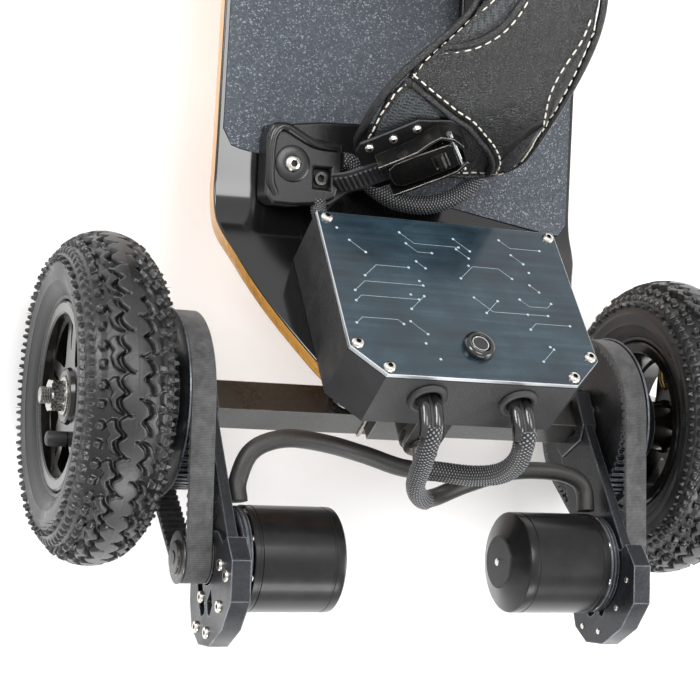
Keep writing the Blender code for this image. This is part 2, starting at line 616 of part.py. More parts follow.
def main():
    for obj in list(bpy.data.objects):
        bpy.data.objects.remove(obj)
    rear_end = frame("rear_end", None, at=(0, BOARD_SHIFT - DECK_FLAT / 2, DECK_TOP))
    front_end = frame("front_end", None, at=(0, BOARD_SHIFT + DECK_FLAT / 2, DECK_TOP), turn=(0, 0, math.pi))
    rear_tip = frame("rear_tip", rear_end, turn=(-TIP_ANGLE, 0, 0))
    front_tip = frame("front_tip", front_end, turn=(-TIP_ANGLE, 0, 0))
    make_deck(rear_end)
    make_controller(rear_tip)
    make_battery(rear_end)
    make_leads(rear_end)
    for place, end, tip in (("rear", rear_end, rear_tip), ("front", front_end, front_tip)):
        make_truck(place, tip)
        for side, name in ((-1, "left"), (1, "right")):
            # Left and right are the board's own, so they swap in the turned front frame
            x = side * TRACK_HALF if place == "rear" else -side * TRACK_HALF
            hub = frame(f"{place}_{name}_axle", end, at=(x, AXLE.y, AXLE.z))
            make_wheel(f"{place}_{name}", hub, math.copysign(1, x))
    for side, name in ((-1, "left"), (1, "right")):
        make_drive(name, side, rear_end)
    make_binding("rear", rear_end, 1)
    # The front binding mirrors the rear one across the board's middle, so it is laid out in an unturned frame
    middle_mirror = frame("front_binding_frame", None, at=(0, BOARD_SHIFT + DECK_FLAT / 2, DECK_TOP))
    make_binding("front", middle_mirror, -1)


BOARD = bpy.data.collections.new("electric_mountain_board")
CUTTERS = bpy.data.collections.new("cutters")
bpy.context.scene.collection.children.link(BOARD)
bpy.context.scene.collection.children.link(CUTTERS)
main()
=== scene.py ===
"""Looks of the electric mountain board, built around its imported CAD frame. Lengths are in metres."""

import math
import random

import bmesh
import bpy
from mathutils import Matrix, Vector
from mathutils.bvhtree import BVHTree


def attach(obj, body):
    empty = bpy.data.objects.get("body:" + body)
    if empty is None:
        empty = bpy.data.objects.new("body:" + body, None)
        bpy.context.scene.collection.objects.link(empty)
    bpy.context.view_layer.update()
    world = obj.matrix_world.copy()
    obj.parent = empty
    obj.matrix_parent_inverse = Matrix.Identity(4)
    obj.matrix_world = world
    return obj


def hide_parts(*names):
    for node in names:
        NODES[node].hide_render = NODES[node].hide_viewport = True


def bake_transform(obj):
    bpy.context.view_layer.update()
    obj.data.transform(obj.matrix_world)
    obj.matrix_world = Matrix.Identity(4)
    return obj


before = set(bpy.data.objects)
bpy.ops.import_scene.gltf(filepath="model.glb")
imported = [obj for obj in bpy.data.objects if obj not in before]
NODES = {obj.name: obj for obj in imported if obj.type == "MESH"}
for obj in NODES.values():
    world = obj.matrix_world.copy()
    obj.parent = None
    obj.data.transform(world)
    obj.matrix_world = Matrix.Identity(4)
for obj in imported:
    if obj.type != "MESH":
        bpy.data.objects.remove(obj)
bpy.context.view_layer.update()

MM = 0.001
TIP_ANGLE = math.radians(38)
TURN = 2 * math.pi
REAR_END = Matrix.Translation((0, -0.3092, 0.09))
FRONT_END = Matrix.Translation((0, 0.3508, 0.09)) @ Matrix.Rotation(math.pi, 4, "Z")
TIP = Matrix.Rotation(-TIP_ANGLE, 4, "X")
REAR_TIP = REAR_END @ TIP
FRONT_TIP = FRONT_END @ TIP
AXLE = Vector((0, -0.1235, 0.01))
TRACK_HALF = 0.198
MOTOR_ANGLE = math.radians(28.5)
MOTOR_CENTRES = 0.1022
BELT_X = 0.146
SIDES = (("left", -1), ("right", 1))


# ---------------------------------------------------------------- shaders

class Look:
    """A procedural material and short ways to wire its nodes."""

    def __init__(self, name, colour, rough, metal=0.0, coat=0.0, sheen=0.0, specular=0.5):
        self.made = bpy.data.materials.new(name)
        self.made.use_nodes = True
        self.nodes = self.made.node_tree.nodes
        self.links = self.made.node_tree.links
        self.shader = self.nodes["Principled BSDF"]
        for socket, value in (("Base Color", (*colour, 1)), ("Roughness", rough), ("Metallic", metal),
                              ("Coat Weight", coat), ("Coat Roughness", 0.12), ("Sheen Weight", sheen),
                              ("Sheen Roughness", 0.4), ("Specular IOR Level", specular)):
            self.shader.inputs[socket].default_value = value
        self.made.diffuse_color = (*colour, 1)

    def node(self, kind, links=None, **values):
        made = self.nodes.new("ShaderNode" + kind)
        for key, value in values.items():
            setattr(made, key, value)
        for socket, value in (links or {}).items():
            self.feed(made.inputs[socket], value)
        return made

    def feed(self, socket, value):
        if isinstance(value, (int, float, tuple)):
            socket.default_value = value
        else:
            self.links.new(value, socket)

    def place(self, scale=(1, 1, 1), turn=(0, 0, 0), source="Object"):
        coords = self.node("TexCoord").outputs[source]
        return self.node("Mapping", {"Vector": coords, "Scale": scale, "Rotation": turn}).outputs["Vector"]

    def noise(self, scale, detail=3.0, rough=0.55, at=None, distort=0.0):
        return self.node("TexNoise", {"Vector": at or self.place(), "Scale": scale, "Detail": detail,
                                      "Roughness": rough, "Distortion": distort}).outputs["Fac"]

    def cells(self, scale, at=None, feature="F1", output="Distance", spread=1.0):
        made = self.node("TexVoronoi", {"Vector": at or self.place(), "Scale": scale, "Randomness": spread},
                         feature=feature)
        return made.outputs[output]

    def ramp(self, value, stops, hard=False):
        made = self.node("ValToRGB", {"Fac": value})
        bar = made.color_ramp
        bar.interpolation = "CONSTANT" if hard else "LINEAR"
        while len(bar.elements) < len(stops):
            bar.elements.new(0.5)
        for element, (at, colour) in zip(bar.elements, stops):
            element.position = at
            element.color = (*colour, 1) if hasattr(colour, "__len__") else (colour, colour, colour, 1)
        return made.outputs["Color"]

    def span(self, value, low, high, start=0.0, end=1.0):
        return self.node("MapRange", {"Value": value, "From Min": start, "From Max": end, "To Min": low,
                                      "To Max": high}).outputs["Result"]

    def maths(self, operation, a, b=0.0, clamp=False):
        made = self.node("Math", operation=operation, use_clamp=clamp)
        self.feed(made.inputs[0], a)
        self.feed(made.inputs[1], b)
        return made.outputs[0]

    def mix(self, share, a, b, blend="MIX"):
        made = self.node("Mix", data_type="RGBA", blend_type=blend)
        self.feed(made.inputs["Factor"], share)
        self.feed(made.inputs[6], a)
        self.feed(made.inputs[7], b)
        return made.outputs[2]

    def colour(self, value):
        self.feed(self.shader.inputs["Base Color"], value)

    def rough(self, value):
        self.feed(self.shader.inputs["Roughness"], value)

    def metal(self, value):
        self.feed(self.shader.inputs["Metallic"], value)

    def bump(self, height, depth, strength=1.0):
        """Adds a bump of that depth in metres on top of any earlier one."""
        made = self.node("Bump", {"Height": height, "Distance": depth, "Strength": strength})
        socket = self.shader.inputs["Normal"]
        if socket.is_linked:
            self.links.new(socket.links[0].from_socket, made.inputs["Normal"])
        self.links.new(made.outputs["Normal"], socket)

    def edges(self, radius):
        """1 on edges that would wear or catch light, 0 on flat faces."""
        soft = self.node("Bevel", {"Radius": radius}, samples=4).outputs["Normal"]
        sharp = self.node("NewGeometry").outputs["Normal"]
        dot = self.node("VectorMath", operation="DOT_PRODUCT")
        self.links.new(soft, dot.inputs[0])
        self.links.new(sharp, dot.inputs[1])
        return self.span(dot.outputs["Value"], 1.0, 0.0, 0.93, 0.995)

    def mottle(self, dark, light, rough, grain, depth=0.0, spread=0.12, at=None):
        """The usual finish: two tones, uneven gloss and a fine grain."""
        fine = self.noise(grain, 4, 0.6, at)
        broad = self.noise(grain / 14, 3, 0.5, at)
        self.colour(self.ramp(self.maths("ADD", self.maths("MULTIPLY", fine, 0.6), self.maths("MULTIPLY", broad, 0.4)),
                              [(0.3, dark), (0.7, light)]))
        self.rough(self.span(broad, rough - spread, rough + spread, 0.3, 0.7))
        if depth:
            self.bump(fine, depth)
        return self


def powder_coat():
    look = Look("powder_coat", (0.02, 0.02, 0.021), 0.5)
    look.mottle((0.010, 0.010, 0.011), (0.026, 0.026, 0.028), 0.46, 900, 0.00022)
    look.bump(look.cells(1500), 0.00012)
    return look.made


def cover_finish():
    look = Look("cover_blue", (0.012, 0.032, 0.046), 0.22, coat=0.7)
    normal = look.node("TexCoord").outputs["Normal"]
    up = look.node("VectorMath", operation="DOT_PRODUCT")
    look.links.new(normal, up.inputs[0])
    up.inputs[1].default_value = (0, math.sin(TIP_ANGLE), math.cos(TIP_ANGLE))
    rim = look.span(up.outputs["Value"], 1.0, 0.0, 0.985, 0.995)
    streak = look.noise(260, 4, 0.6, look.place(scale=(0.05, 1, 1)))
    cloud = look.noise(26, 4, 0.6)
    face = look.ramp(look.maths("ADD", look.maths("MULTIPLY", streak, 0.45), look.maths("MULTIPLY", cloud, 0.55)),
                     [(0.34, (0.004, 0.011, 0.018)), (0.52, (0.012, 0.030, 0.044)), (0.72, (0.032, 0.066, 0.088))])
    look.colour(look.mix(rim, face, (0.55, 0.57, 0.58, 1)))
    look.metal(look.span(rim, 0.15, 1.0))
    look.rough(look.maths("ADD", look.span(cloud, 0.16, 0.34, 0.3, 0.7), look.maths("MULTIPLY", rim, 0.12)))
    return look.made


def plain(name, dark, light, rough, grain, depth=0.0, metal=0.0, coat=0.0, spread=0.1, sheen=0.0, stretch=(1, 1, 1),
          specular=0.5):
    look = Look(name, light, rough, metal, coat, sheen, specular)
    look.mottle(dark, light, rough, grain, depth, spread, look.place(scale=stretch))
    return look.made


def worn_and_edge_highlit(name, dark, light, edge, rough, grain, depth=0.0, metal=0.0, coat=0.0, radius=0.0009):
    """A finish whose edges are painted brighter: partly rubbed wear, partly a painted highlight where edges catch
    light.
    """
    look = Look(name, light, rough, metal, coat)
    look.mottle(dark, light, rough, grain, depth)
    base = look.shader.inputs["Base Color"].links[0].from_socket
    # Edge tone: partly rubbed wear, partly a painted highlight on the edges that catch light.
    rubbed_and_highlit = look.maths("MULTIPLY", look.edges(radius), look.span(look.noise(grain / 5, 3), 0.35, 1.0, 0.35, 0.65))
    look.colour(look.mix(rubbed_and_highlit, base, (*edge, 1)))
    return look.made


def grip_finish():
    look = Look("grip_grit", (0.06, 0.068, 0.08), 0.62, specular=0.7)
    grit = look.cells(1250, feature="F1")
    tone = look.cells(1250, feature="F1", output="Color")
    # Grit cells in several tones, the brightest few a painted glint of light off the grains.
    grain_tone_and_glints = look.ramp(look.node("SeparateColor", {"Color": tone}).outputs["Red"],
                      [(0.0, (0.016, 0.020, 0.026)), (0.55, (0.045, 0.054, 0.068)), (0.86, (0.10, 0.118, 0.145)),
                       (0.97, (0.42, 0.46, 0.5))])
    cloud = look.noise(34, 4, 0.65)
    look.colour(look.mix(look.span(cloud, 0.25, 0.75, 0.3, 0.7), grain_tone_and_glints, (0.062, 0.074, 0.092, 1), "MIX"))
    look.rough(look.span(look.noise(900, 2), 0.42, 0.75, 0.35, 0.65))
    look.bump(grit, 0.0005)
    look.bump(look.noise(420, 4, 0.7), 0.0005)
    return look.made


def deck_finish():
    """Black lacquer on top, laminated plies on the edge, clear veneer below. Depth runs down from the top face."""
    look = Look("deck_wood", (0.6, 0.33, 0.1), 0.25, coat=0.6)
    depth = look.node("Attribute", attribute_name="depth").outputs["Fac"]
    grain = look.noise(60, 6, 0.65, look.place(scale=(9, 0.7, 9)), 0.4)
    fine = look.noise(300, 3, 0.5, look.place(scale=(4, 0.35, 4)))
    wood = look.ramp(look.maths("ADD", look.maths("MULTIPLY", grain, 0.7), look.maths("MULTIPLY", fine, 0.3)),
                     [(0.30, (0.36, 0.150, 0.028)), (0.5, (0.60, 0.290, 0.062)), (0.7, (0.78, 0.450, 0.140))])
    plies = look.ramp(depth, [(0.0, 0.0), (0.10, 1.0), (0.235, 0.45), (0.262, 1.0), (0.40, 0.55), (0.425, 0.9),
                              (0.56, 0.5), (0.585, 1.0), (0.72, 0.5), (0.745, 0.95), (0.87, 0.55), (0.895, 1.0)], True)
    edge = look.mix(1.0, wood, plies, "MULTIPLY")
    top = look.span(depth, 1.0, 0.0, 0.085, 0.115)
    look.colour(look.mix(top, edge, (0.0045, 0.0045, 0.005, 1)))
    look.rough(look.mix(top, (0.30, 0.30, 0.30, 1), (0.10, 0.10, 0.10, 1)))
    look.bump(look.noise(18, 2), 0.0006, 0.35)
    return look.made


def tyre_finish():
    """Rubber, a little dusty on the blocks, with painted shade darkening the grooves, whose depth is in the map
    "height".
    """
    look = Look("tyre_rubber", (0.02, 0.02, 0.021), 0.5, sheen=0.0, specular=0.6)
    look.mottle((0.007, 0.007, 0.0075), (0.018, 0.0185, 0.020), 0.34, 520, 0.00012, 0.1)
    dust = look.maths("MULTIPLY", look.span(look.noise(75, 5, 0.7), 0.0, 1.0, 0.52, 0.75), 0.25)
    base = look.shader.inputs["Base Color"].links[0].from_socket
    worn_tone = look.mix(dust, base, (0.034, 0.030, 0.026, 1))
    below = look.node("Attribute", attribute_name="height").outputs["Fac"]
    # Painted shade: the colour goes to near black with depth into the grooves.
    look.colour(look.mix(look.span(below, 0.0, 0.85, 0.12, 0.8), worn_tone, (0.002, 0.002, 0.002, 1)))
    return look.made


def belt_finish():
    """Woven nylon back: fine crossed ribs on grey rubber. The map runs along and across the belt in metres."""
    look = Look("belt_rubber", (0.09, 0.09, 0.092), 0.72, sheen=0.25)
    at = look.node("UVMap", uv_map="run").outputs["UV"]
    across = look.node("TexWave", {"Vector": look.node("Mapping", {"Vector": at, "Scale": (1, 1, 1)}).outputs[0],
                                   "Scale": 340.0, "Distortion": 1.2, "Detail": 2.0, "Detail Scale": 3.0},
                       bands_direction="X").outputs["Fac"]
    along = look.node("TexWave", {"Vector": at, "Scale": 520.0, "Distortion": 1.5, "Detail": 2.0},
                      bands_direction="Y").outputs["Fac"]
    weave = look.maths("MULTIPLY", across, along)
    scuff = look.noise(150, 5, 0.7, look.place(scale=(1, 1, 1)))
    look.colour(look.ramp(look.maths("ADD", look.maths("MULTIPLY", weave, 0.35), look.maths("MULTIPLY", scuff, 0.75)),
                          [(0.28, (0.030, 0.030, 0.032)), (0.52, (0.075, 0.075, 0.078)),
                           (0.78, (0.155, 0.152, 0.150))]))
    look.bump(weave, 0.00018)
    look.bump(scuff, 0.0001)
    return look.made


def braid_finish(name, dark, light):
    """Crossed strands, with a painted highlight on their crests and painted shade in the dips between them. The map
    runs along the sleeve in metres and once around it.
    """
    look = Look(name, dark, 0.34, specular=0.6)
    at = look.node("UVMap", uv_map="run").outputs["UV"]
    parts = look.node("SeparateXYZ", {"Vector": at})
    turn = look.maths("MULTIPLY", parts.outputs["Y"], math.pi * 11)
    step = look.maths("MULTIPLY", parts.outputs["X"], math.pi / 0.0021)
    one = look.maths("ABSOLUTE", look.maths("COSINE", look.maths("ADD", turn, step)))
    two = look.maths("ABSOLUTE", look.maths("COSINE", look.maths("SUBTRACT", turn, step)))
    knot = look.maths("MULTIPLY", one, two)
    fibre = look.noise(2600, 2, 0.6)
    # Painted light: near black in the dips between strands as shade, the light tone on the crossings as a highlight.
    look.colour(look.ramp(look.maths("MULTIPLY", knot, look.span(fibre, 0.7, 1.2)),
                          [(0.12, (0.003, 0.003, 0.003)), (0.5, dark), (0.85, light)]))
    look.rough(look.span(knot, 0.75, 0.26))
    look.bump(knot, 0.0003)
    return look.made


def leather_finish():
    look = Look("strap_leather", (0.012, 0.012, 0.013), 0.36, sheen=0.0, specular=0.55)
    crease = look.cells(520, look.place(scale=(1, 1.5, 1)), feature="DISTANCE_TO_EDGE")
    warp = look.noise(300, 4, 0.6)
    fold = look.noise(40, 4, 0.6, look.place(scale=(1.6, 0.8, 1)), 1.2)
    look.colour(look.ramp(look.maths("ADD", look.maths("MULTIPLY", warp, 0.5), look.maths("MULTIPLY", fold, 0.5)),
                          [(0.3, (0.004, 0.004, 0.0045)), (0.7, (0.014, 0.014, 0.015))]))
    look.rough(look.span(fold, 0.26, 0.48, 0.3, 0.7))
    look.bump(look.span(crease, 0, 1, 0.0, 0.18), 0.00016)
    look.bump(warp, 0.00014)
    look.bump(fold, 0.0024, 0.8)
    return look.made


def mesh_fabric_finish():
    look = Look("strap_mesh", (0.02, 0.024, 0.026), 0.5, sheen=0.3)
    holes = look.cells(620, feature="F1", spread=0.35)
    look.colour(look.ramp(holes, [(0.0, (0.002, 0.002, 0.002)), (0.32, (0.006, 0.007, 0.008)),
                                  (0.62, (0.045, 0.054, 0.058))]))
    look.bump(holes, 0.0007)
    return look.made


def brushed(name, colour, rough, stretch, grain=900):
    """Bare metal with a fine turned or drawn grain."""
    look = Look(name, colour, rough, 1.0)
    line = look.noise(grain, 4, 0.6, look.place(scale=stretch))
    dark = tuple(c * 0.72 for c in colour)
    look.colour(look.ramp(line, [(0.3, dark), (0.7, colour)]))
    look.rough(look.span(line, rough - 0.08, rough + 0.12, 0.3, 0.7))
    look.bump(line, 0.00003)
    return look.made


LOOKS = {
    "case": powder_coat(),
    "cover": cover_finish(),
    "grip": grip_finish(),
    "deck": deck_finish(),
    "tyre": tyre_finish(),
    "belt": belt_finish(),
    # The light tone of the braid is a painted highlight on the strands' crests.
    "braid": braid_finish("cable_braid", (0.008, 0.008, 0.009), (0.26, 0.27, 0.285)),
    "leather": leather_finish(),
    "mesh": mesh_fabric_finish(),
    "trace": plain("cover_trace", (0.22, 0.30, 0.34), (0.46, 0.54, 0.58), 0.35, 300),
    "screw": brushed("stainless", (0.78, 0.74, 0.68), 0.24, (1, 1, 1), 1600),
    # Painted shade: the dark tone of the insides of screw sockets, the strap's slits and the blocks' recesses.
    "recess": plain("socket_painted_shade", (0.01, 0.01, 0.01), (0.04, 0.038, 0.036), 0.5, 900, metal=0.6),
    "silver": brushed("bright_ring", (0.86, 0.87, 0.88), 0.18, (1, 1, 1)),
    "button": plain("button_black", (0.004, 0.004, 0.005), (0.012, 0.012, 0.013), 0.16, 300, coat=0.6, spread=0.05),
    "rubber": plain("soft_rubber", (0.008, 0.008, 0.009), (0.026, 0.026, 0.027), 0.5, 500, 0.0001),
    "shrink": plain("heat_shrink", (0.008, 0.008, 0.009), (0.020, 0.020, 0.022), 0.16, 200, 0.0001, coat=0.5),
    "cable": plain("cable_jacket", (0.012, 0.0115, 0.011), (0.034, 0.032, 0.030), 0.46, 700, 0.0001),
    # The edge tones of these worn finishes are partly wear, partly painted highlight.
    "truck": worn_and_edge_highlit("truck_paint", (0.020, 0.019, 0.018), (0.044, 0.042, 0.039), (0.30, 0.28, 0.25), 0.34, 420, 0.00008,
                  metal=0.3, coat=0.3),
    "weld": plain("weld_bead", (0.10, 0.085, 0.07), (0.46, 0.42, 0.37), 0.32, 700, 0.0001, metal=1.0),
    "rim": plain("rim_polished", (0.008, 0.0075, 0.007), (0.030, 0.027, 0.023), 0.20, 160, 0.00005, metal=0.75,
                 coat=0.4, spread=0.05),
    "steel": brushed("satin_steel", (0.62, 0.60, 0.56), 0.26, (1, 1, 1)),
    "spring": brushed("spring_wire", (0.70, 0.69, 0.67), 0.22, (1, 1, 1)),
    "dark_steel": plain("dark_steel", (0.05, 0.048, 0.045), (0.17, 0.16, 0.15), 0.32, 600, 0.00005, metal=0.9),
    "brass": brushed("brass_stem", (0.62, 0.44, 0.18), 0.26, (1, 1, 1)),
    "anodised": worn_and_edge_highlit("black_anodised", (0.014, 0.015, 0.017), (0.036, 0.038, 0.043), (0.34, 0.37, 0.42), 0.30, 500,
                     0.00005, metal=0.5, radius=0.0012),
    "cheek": worn_and_edge_highlit("bent_steel", (0.012, 0.012, 0.012), (0.030, 0.029, 0.028), (0.52, 0.49, 0.45), 0.28, 500, 0.00005,
                  metal=0.7, coat=0.2, radius=0.0008),
    "can": plain("motor_can", (0.010, 0.010, 0.0105), (0.024, 0.024, 0.025), 0.30, 90, metal=0.6, coat=0.12,
                 spread=0.04),
    "can_end": plain("motor_end", (0.010, 0.010, 0.011), (0.022, 0.021, 0.021), 0.42, 500, 0.00006, metal=0.3),
    "plastic": plain("moulded_black", (0.003, 0.003, 0.0035), (0.009, 0.009, 0.0095), 0.30, 350, 0.00008, coat=0.15),
    "pad_plastic": plain("battery_shell", (0.010, 0.010, 0.011), (0.030, 0.030, 0.032), 0.48, 900, 0.0002),
    "wrap": plain("cell_wrap", (0.02, 0.06, 0.18), (0.05, 0.12, 0.30), 0.3, 300),
    "thread": plain("thread_light", (0.48, 0.44, 0.36), (0.84, 0.81, 0.74), 0.6, 1500, 0.00005),
    "ladder": plain("ladder_nylon", (0.020, 0.020, 0.022), (0.050, 0.050, 0.053), 0.44, 700, 0.00008),
    "floor": plain("studio_floor", (0.97, 0.97, 0.97), (0.98, 0.98, 0.98), 0.8, 3, spread=0.05, specular=0.1),
}


# ---------------------------------------------------------------- geometry helpers

def mesh(name, verts, faces, sharp=35, maps=None):
    """A smooth-shaded mesh whose edges over the given angle stay sharp. maps holds (u, v) for each face corner."""
    made = bpy.data.meshes.new(name)
    made.from_pydata([tuple(v) for v in verts], [], faces)
    if maps:
        layer = made.uv_layers.new(name="run")
        flat = [c for face in maps for uv in face for c in uv]
        layer.data.foreach_set("uv", flat)
    made.shade_smooth()
    made.set_sharp_from_angle(angle=math.radians(sharp))
    return made


def put(name, data, look, body, at=None, slot=None, replaces=(), bevel=0.0, subdivide=0, segments=2):
    """A new piece that rides on a body. at is a matrix or a place."""
    obj = bpy.data.objects.new(name, data)
    bpy.context.scene.collection.objects.link(obj)
    if look and not data.materials:
        data.materials.append(LOOKS[look])
    if at is not None:
        obj.matrix_world = at if isinstance(at, Matrix) else Matrix.Translation(at)
    if bevel:
        soften(obj, bevel, segments)
    if subdivide:
        step = obj.modifiers.new("smooth", "SUBSURF")
        step.levels = step.render_levels = subdivide
    if body:
        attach(obj, body)
    if replaces:
        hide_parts(*replaces)
    return obj


def soften(obj, width, segments=2, angle=32):
    bevel = obj.modifiers.new("edges", "BEVEL")
    bevel.width = width
    bevel.segments = segments
    bevel.limit_method = "ANGLE"
    bevel.angle_limit = math.radians(angle)
    bevel.harden_normals = False
    normals = obj.modifiers.new("normals", "WEIGHTED_NORMAL")
    normals.keep_sharp = False
    normals.weight = 100


def keep(node, look, bevel=0.0, segments=2):
    """A CAD node that stays, with a better material and rounded edges."""
    obj = NODES[node]
    obj.data.materials.clear()
    obj.data.materials.append(LOOKS[look])
    if bevel:
        weld = obj.modifiers.new("weld", "WELD")
        weld.merge_threshold = 0.00002
        flat = obj.modifiers.new("flat", "DECIMATE")
        flat.decimate_type = "DISSOLVE"
        flat.angle_limit = math.radians(2)
        soften(obj, bevel, segments)
    return obj


def lathe(profile, steps=64, closed=False, start=0.0):
    """(verts, faces) of (radius, height) points turned about Z. A point on the axis becomes one vertex."""
    verts, rings = [], []
    for r, z in profile:
        if r < 1e-7:
            rings.append([len(verts)] * steps)
            verts.append((0, 0, z))
        else:
            rings.append(range(len(verts), len(verts) + steps))
            verts += [(r * math.cos(start + TURN * i / steps), r * math.sin(start + TURN * i / steps), z)
                      for i in range(steps)]
    faces = []
    pairs = list(zip(rings, rings[1:])) + ([(rings[-1], rings[0])] if closed else [])
    for a, b in pairs:
        for i in range(steps):
            j = (i + 1) % steps
            face = [a[i], a[j], b[j], b[i]]
            face = [v for k, v in enumerate(face) if v != face[k - 1]]
            if len(face) > 2:
                faces.append(face)
    return verts, faces


def mmp(points):
    """Points given in millimetres."""
    return [tuple(c * MM for c in p) for p in points]


def lathe_mesh(name, profile, steps=64, closed=False, sharp=35):
    verts, faces = lathe(mmp(profile), steps, closed)
    return mesh(name, verts, faces, sharp)


def smooth_path(points, per_span):
    """Points on a Catmull-Rom curve through the given ones, in millimetres."""
    knots = [Vector(p) * MM for p in points]
    knots = [2 * knots[0] - knots[1], *knots, 2 * knots[-1] - knots[-2]]
    path = []
    for a, b, c, d in zip(knots, knots[1:], knots[2:], knots[3:]):
        for i in range(per_span):
            t = i / per_span
            path.append(0.5 * (2 * b + (c - a) * t + (2 * a - 5 * b + 4 * c - d) * t * t
                               + (3 * b - a - 3 * c + d) * t ** 3))
    path.append(knots[-2])
    return path


def resample(path, step):
    """The path with points about a step apart, and its length."""
    lengths = [0.0]
    for a, b in zip(path, path[1:]):
        lengths.append(lengths[-1] + (b - a).length)
    total = lengths[-1]
    count = max(2, round(total / step))
    made, k = [], 0
    for i in range(count + 1):
        s = total * i / count
        while k < len(lengths) - 2 and lengths[k + 1] < s:
            k += 1
        share = (s - lengths[k]) / max(1e-12, lengths[k + 1] - lengths[k])
        made.append(path[k].lerp(path[k + 1], min(1, max(0, share))))
    return made, total


def sweep(path, radius, sides, capped=True, up=None):
    """(verts, faces, maps) of a tube. radius is a number or a function of (distance, share around) that gives it,
    or (radius, flatness)."""
    verts, faces, maps = [], [], []
    tangents = [(path[min(i + 1, len(path) - 1)] - path[max(i - 1, 0)]).normalized() for i in range(len(path))]
    side = (up or Vector((0, 0, 1))).cross(tangents[0])
    side = side.normalized() if side.length > 1e-6 else Vector((1, 0, 0))
    run, runs = 0.0, []
    for i, p in enumerate(path):
        if i:
            run += (p - path[i - 1]).length
            side = (side - side.dot(tangents[i]) * tangents[i]).normalized()
        runs.append(run)
        other = tangents[i].cross(side)
        for k in range(sides):
            share = k / sides
            wide = radius(run, share) if callable(radius) else radius
            wide, flat = wide if isinstance(wide, tuple) else (wide, 1.0)
            angle = TURN * share
            verts.append(p + side * (wide * math.cos(angle)) + other * (wide * flat * math.sin(angle)))
    for i in range(len(path) - 1):
        for k in range(sides):
            j = (k + 1) % sides
            faces.append([i * sides + k, i * sides + j, (i + 1) * sides + j, (i + 1) * sides + k])
            a, b = k / sides, (k + 1) / sides
            maps.append([(runs[i], a), (runs[i], b), (runs[i + 1], b), (runs[i + 1], a)])
    if capped:
        ends = [list(range(sides))[::-1], list(range(len(verts) - sides, len(verts)))]
        faces += ends
        maps += [[(0, 0)] * sides, [(run, 0)] * sides]
    return verts, faces, maps


def tube_mesh(name, path, radius, sides=16, up=None):
    verts, faces, maps = sweep(path, radius, sides, up=up)
    return mesh(name, verts, faces, 50, maps)


def tube(name, points, radius, look, body, step=0.003, sides=16, at=None, **words):
    path, _ = resample([Vector(p) for p in points], step)
    verts, faces, maps = sweep(path, radius, sides)
    return put(name, mesh(name, verts, faces, 50, maps), look, body, at, **words)


def flat_shape(name, outlines, low, high):
    """A mesh of a flat outline in XY, with holes, from height low to high. Outlines are in metres."""
    curve = bpy.data.curves.new(name, "CURVE")
    curve.dimensions = "2D"
    curve.fill_mode = "BOTH"
    curve.extrude = (high - low) / 2
    for outline in outlines:
        spline = curve.splines.new("POLY")
        spline.points.add(len(outline) - 1)
        for point, co in zip(spline.points, outline):
            point.co = (*co, 0, 1)
        spline.use_cyclic_u = True
    holder = bpy.data.objects.new(name, curve)
    bpy.context.scene.collection.objects.link(holder)
    made = bpy.data.meshes.new_from_object(holder.evaluated_get(bpy.context.evaluated_depsgraph_get()))
    bpy.data.objects.remove(holder)
    bm = bmesh.new()
    bm.from_mesh(made)
    bmesh.ops.remove_doubles(bm, verts=bm.verts, dist=0.00001)
    bmesh.ops.dissolve_limit(bm, angle_limit=math.radians(1), verts=bm.verts, edges=bm.edges)
    bmesh.ops.translate(bm, vec=(0, 0, (high + low) / 2), verts=bm.verts)
    bm.to_mesh(made)
    bm.free()
    made.materials.clear()
    made.shade_smooth()
    made.set_sharp_from_angle(angle=math.radians(30))
    return made


def ring_points(radius, count, centre=(0, 0), start=0.0):
    return [(centre[0] + radius * math.cos(start + TURN * i / count),
             centre[1] + radius * math.sin(start + TURN * i / count)) for i in range(count)]


def box_mesh(name, size, centre=(0, 0, 0)):
    bm = bmesh.new()
    bmesh.ops.create_cube(bm, size=1, matrix=Matrix.Translation(centre) @ Matrix.Diagonal((*size, 1)))
    made = bpy.data.meshes.new(name)
    bm.to_mesh(made)
    bm.free()
    return made


def facing(direction, at, spin=0.0):
    """A matrix whose Z runs along a direction, at a place."""
    turn = Vector(direction).to_track_quat("Z", "Y").to_matrix().to_4x4()
    return Matrix.Translation(at) @ turn @ Matrix.Rotation(spin, 4, "Z")


def screw_mesh(name, radius, height, socket, deep, dome=True):
    """A button or flat head with a hex socket, its seat at z = 0."""
    steps = 24
    top = [(radius, 0), (radius, height * 0.25)]
    top += [(radius * 0.86, height * 0.72), (radius * 0.62, height * 0.95)] if dome else [(radius, height * 0.8),
                                                                                         (radius * 0.88, height)]
    verts, faces = lathe(top, steps)
    rim = len(verts)
    corners = [(socket * math.cos(TURN * i / 6), socket * math.sin(TURN * i / 6)) for i in range(7)]
    for i in range(steps):
        (x0, y0), (x1, y1), share = corners[i // 4], corners[i // 4 + 1], i % 4 / 4
        verts.append((x0 * (1 - share) + x1 * share, y0 * (1 - share) + y1 * share, height))
    faces += [[rim - steps + i, rim - steps + (i + 1) % steps, rim + (i + 1) % steps, rim + i] for i in range(steps)]
    floor = len(verts)
    verts += [(x * 0.96, y * 0.96, height - deep) for x, y, _ in verts[rim:floor]]
    # The socket's walls and floor take the second, darker material as painted shade.
    socket_shade_from = len(faces)
    faces += [[rim + i, rim + (i + 1) % steps, floor + (i + 1) % steps, floor + i] for i in range(steps)]
    faces.append(list(range(floor, floor + steps)))
    faces.append(list(range(steps))[::-1])
    made = mesh(name, verts, faces, 40)
    made.materials.append(LOOKS["screw"])
    made.materials.append(LOOKS["recess"])
    for face in made.polygons[socket_shade_from:-1]:
        face.material_index = 1
    return made


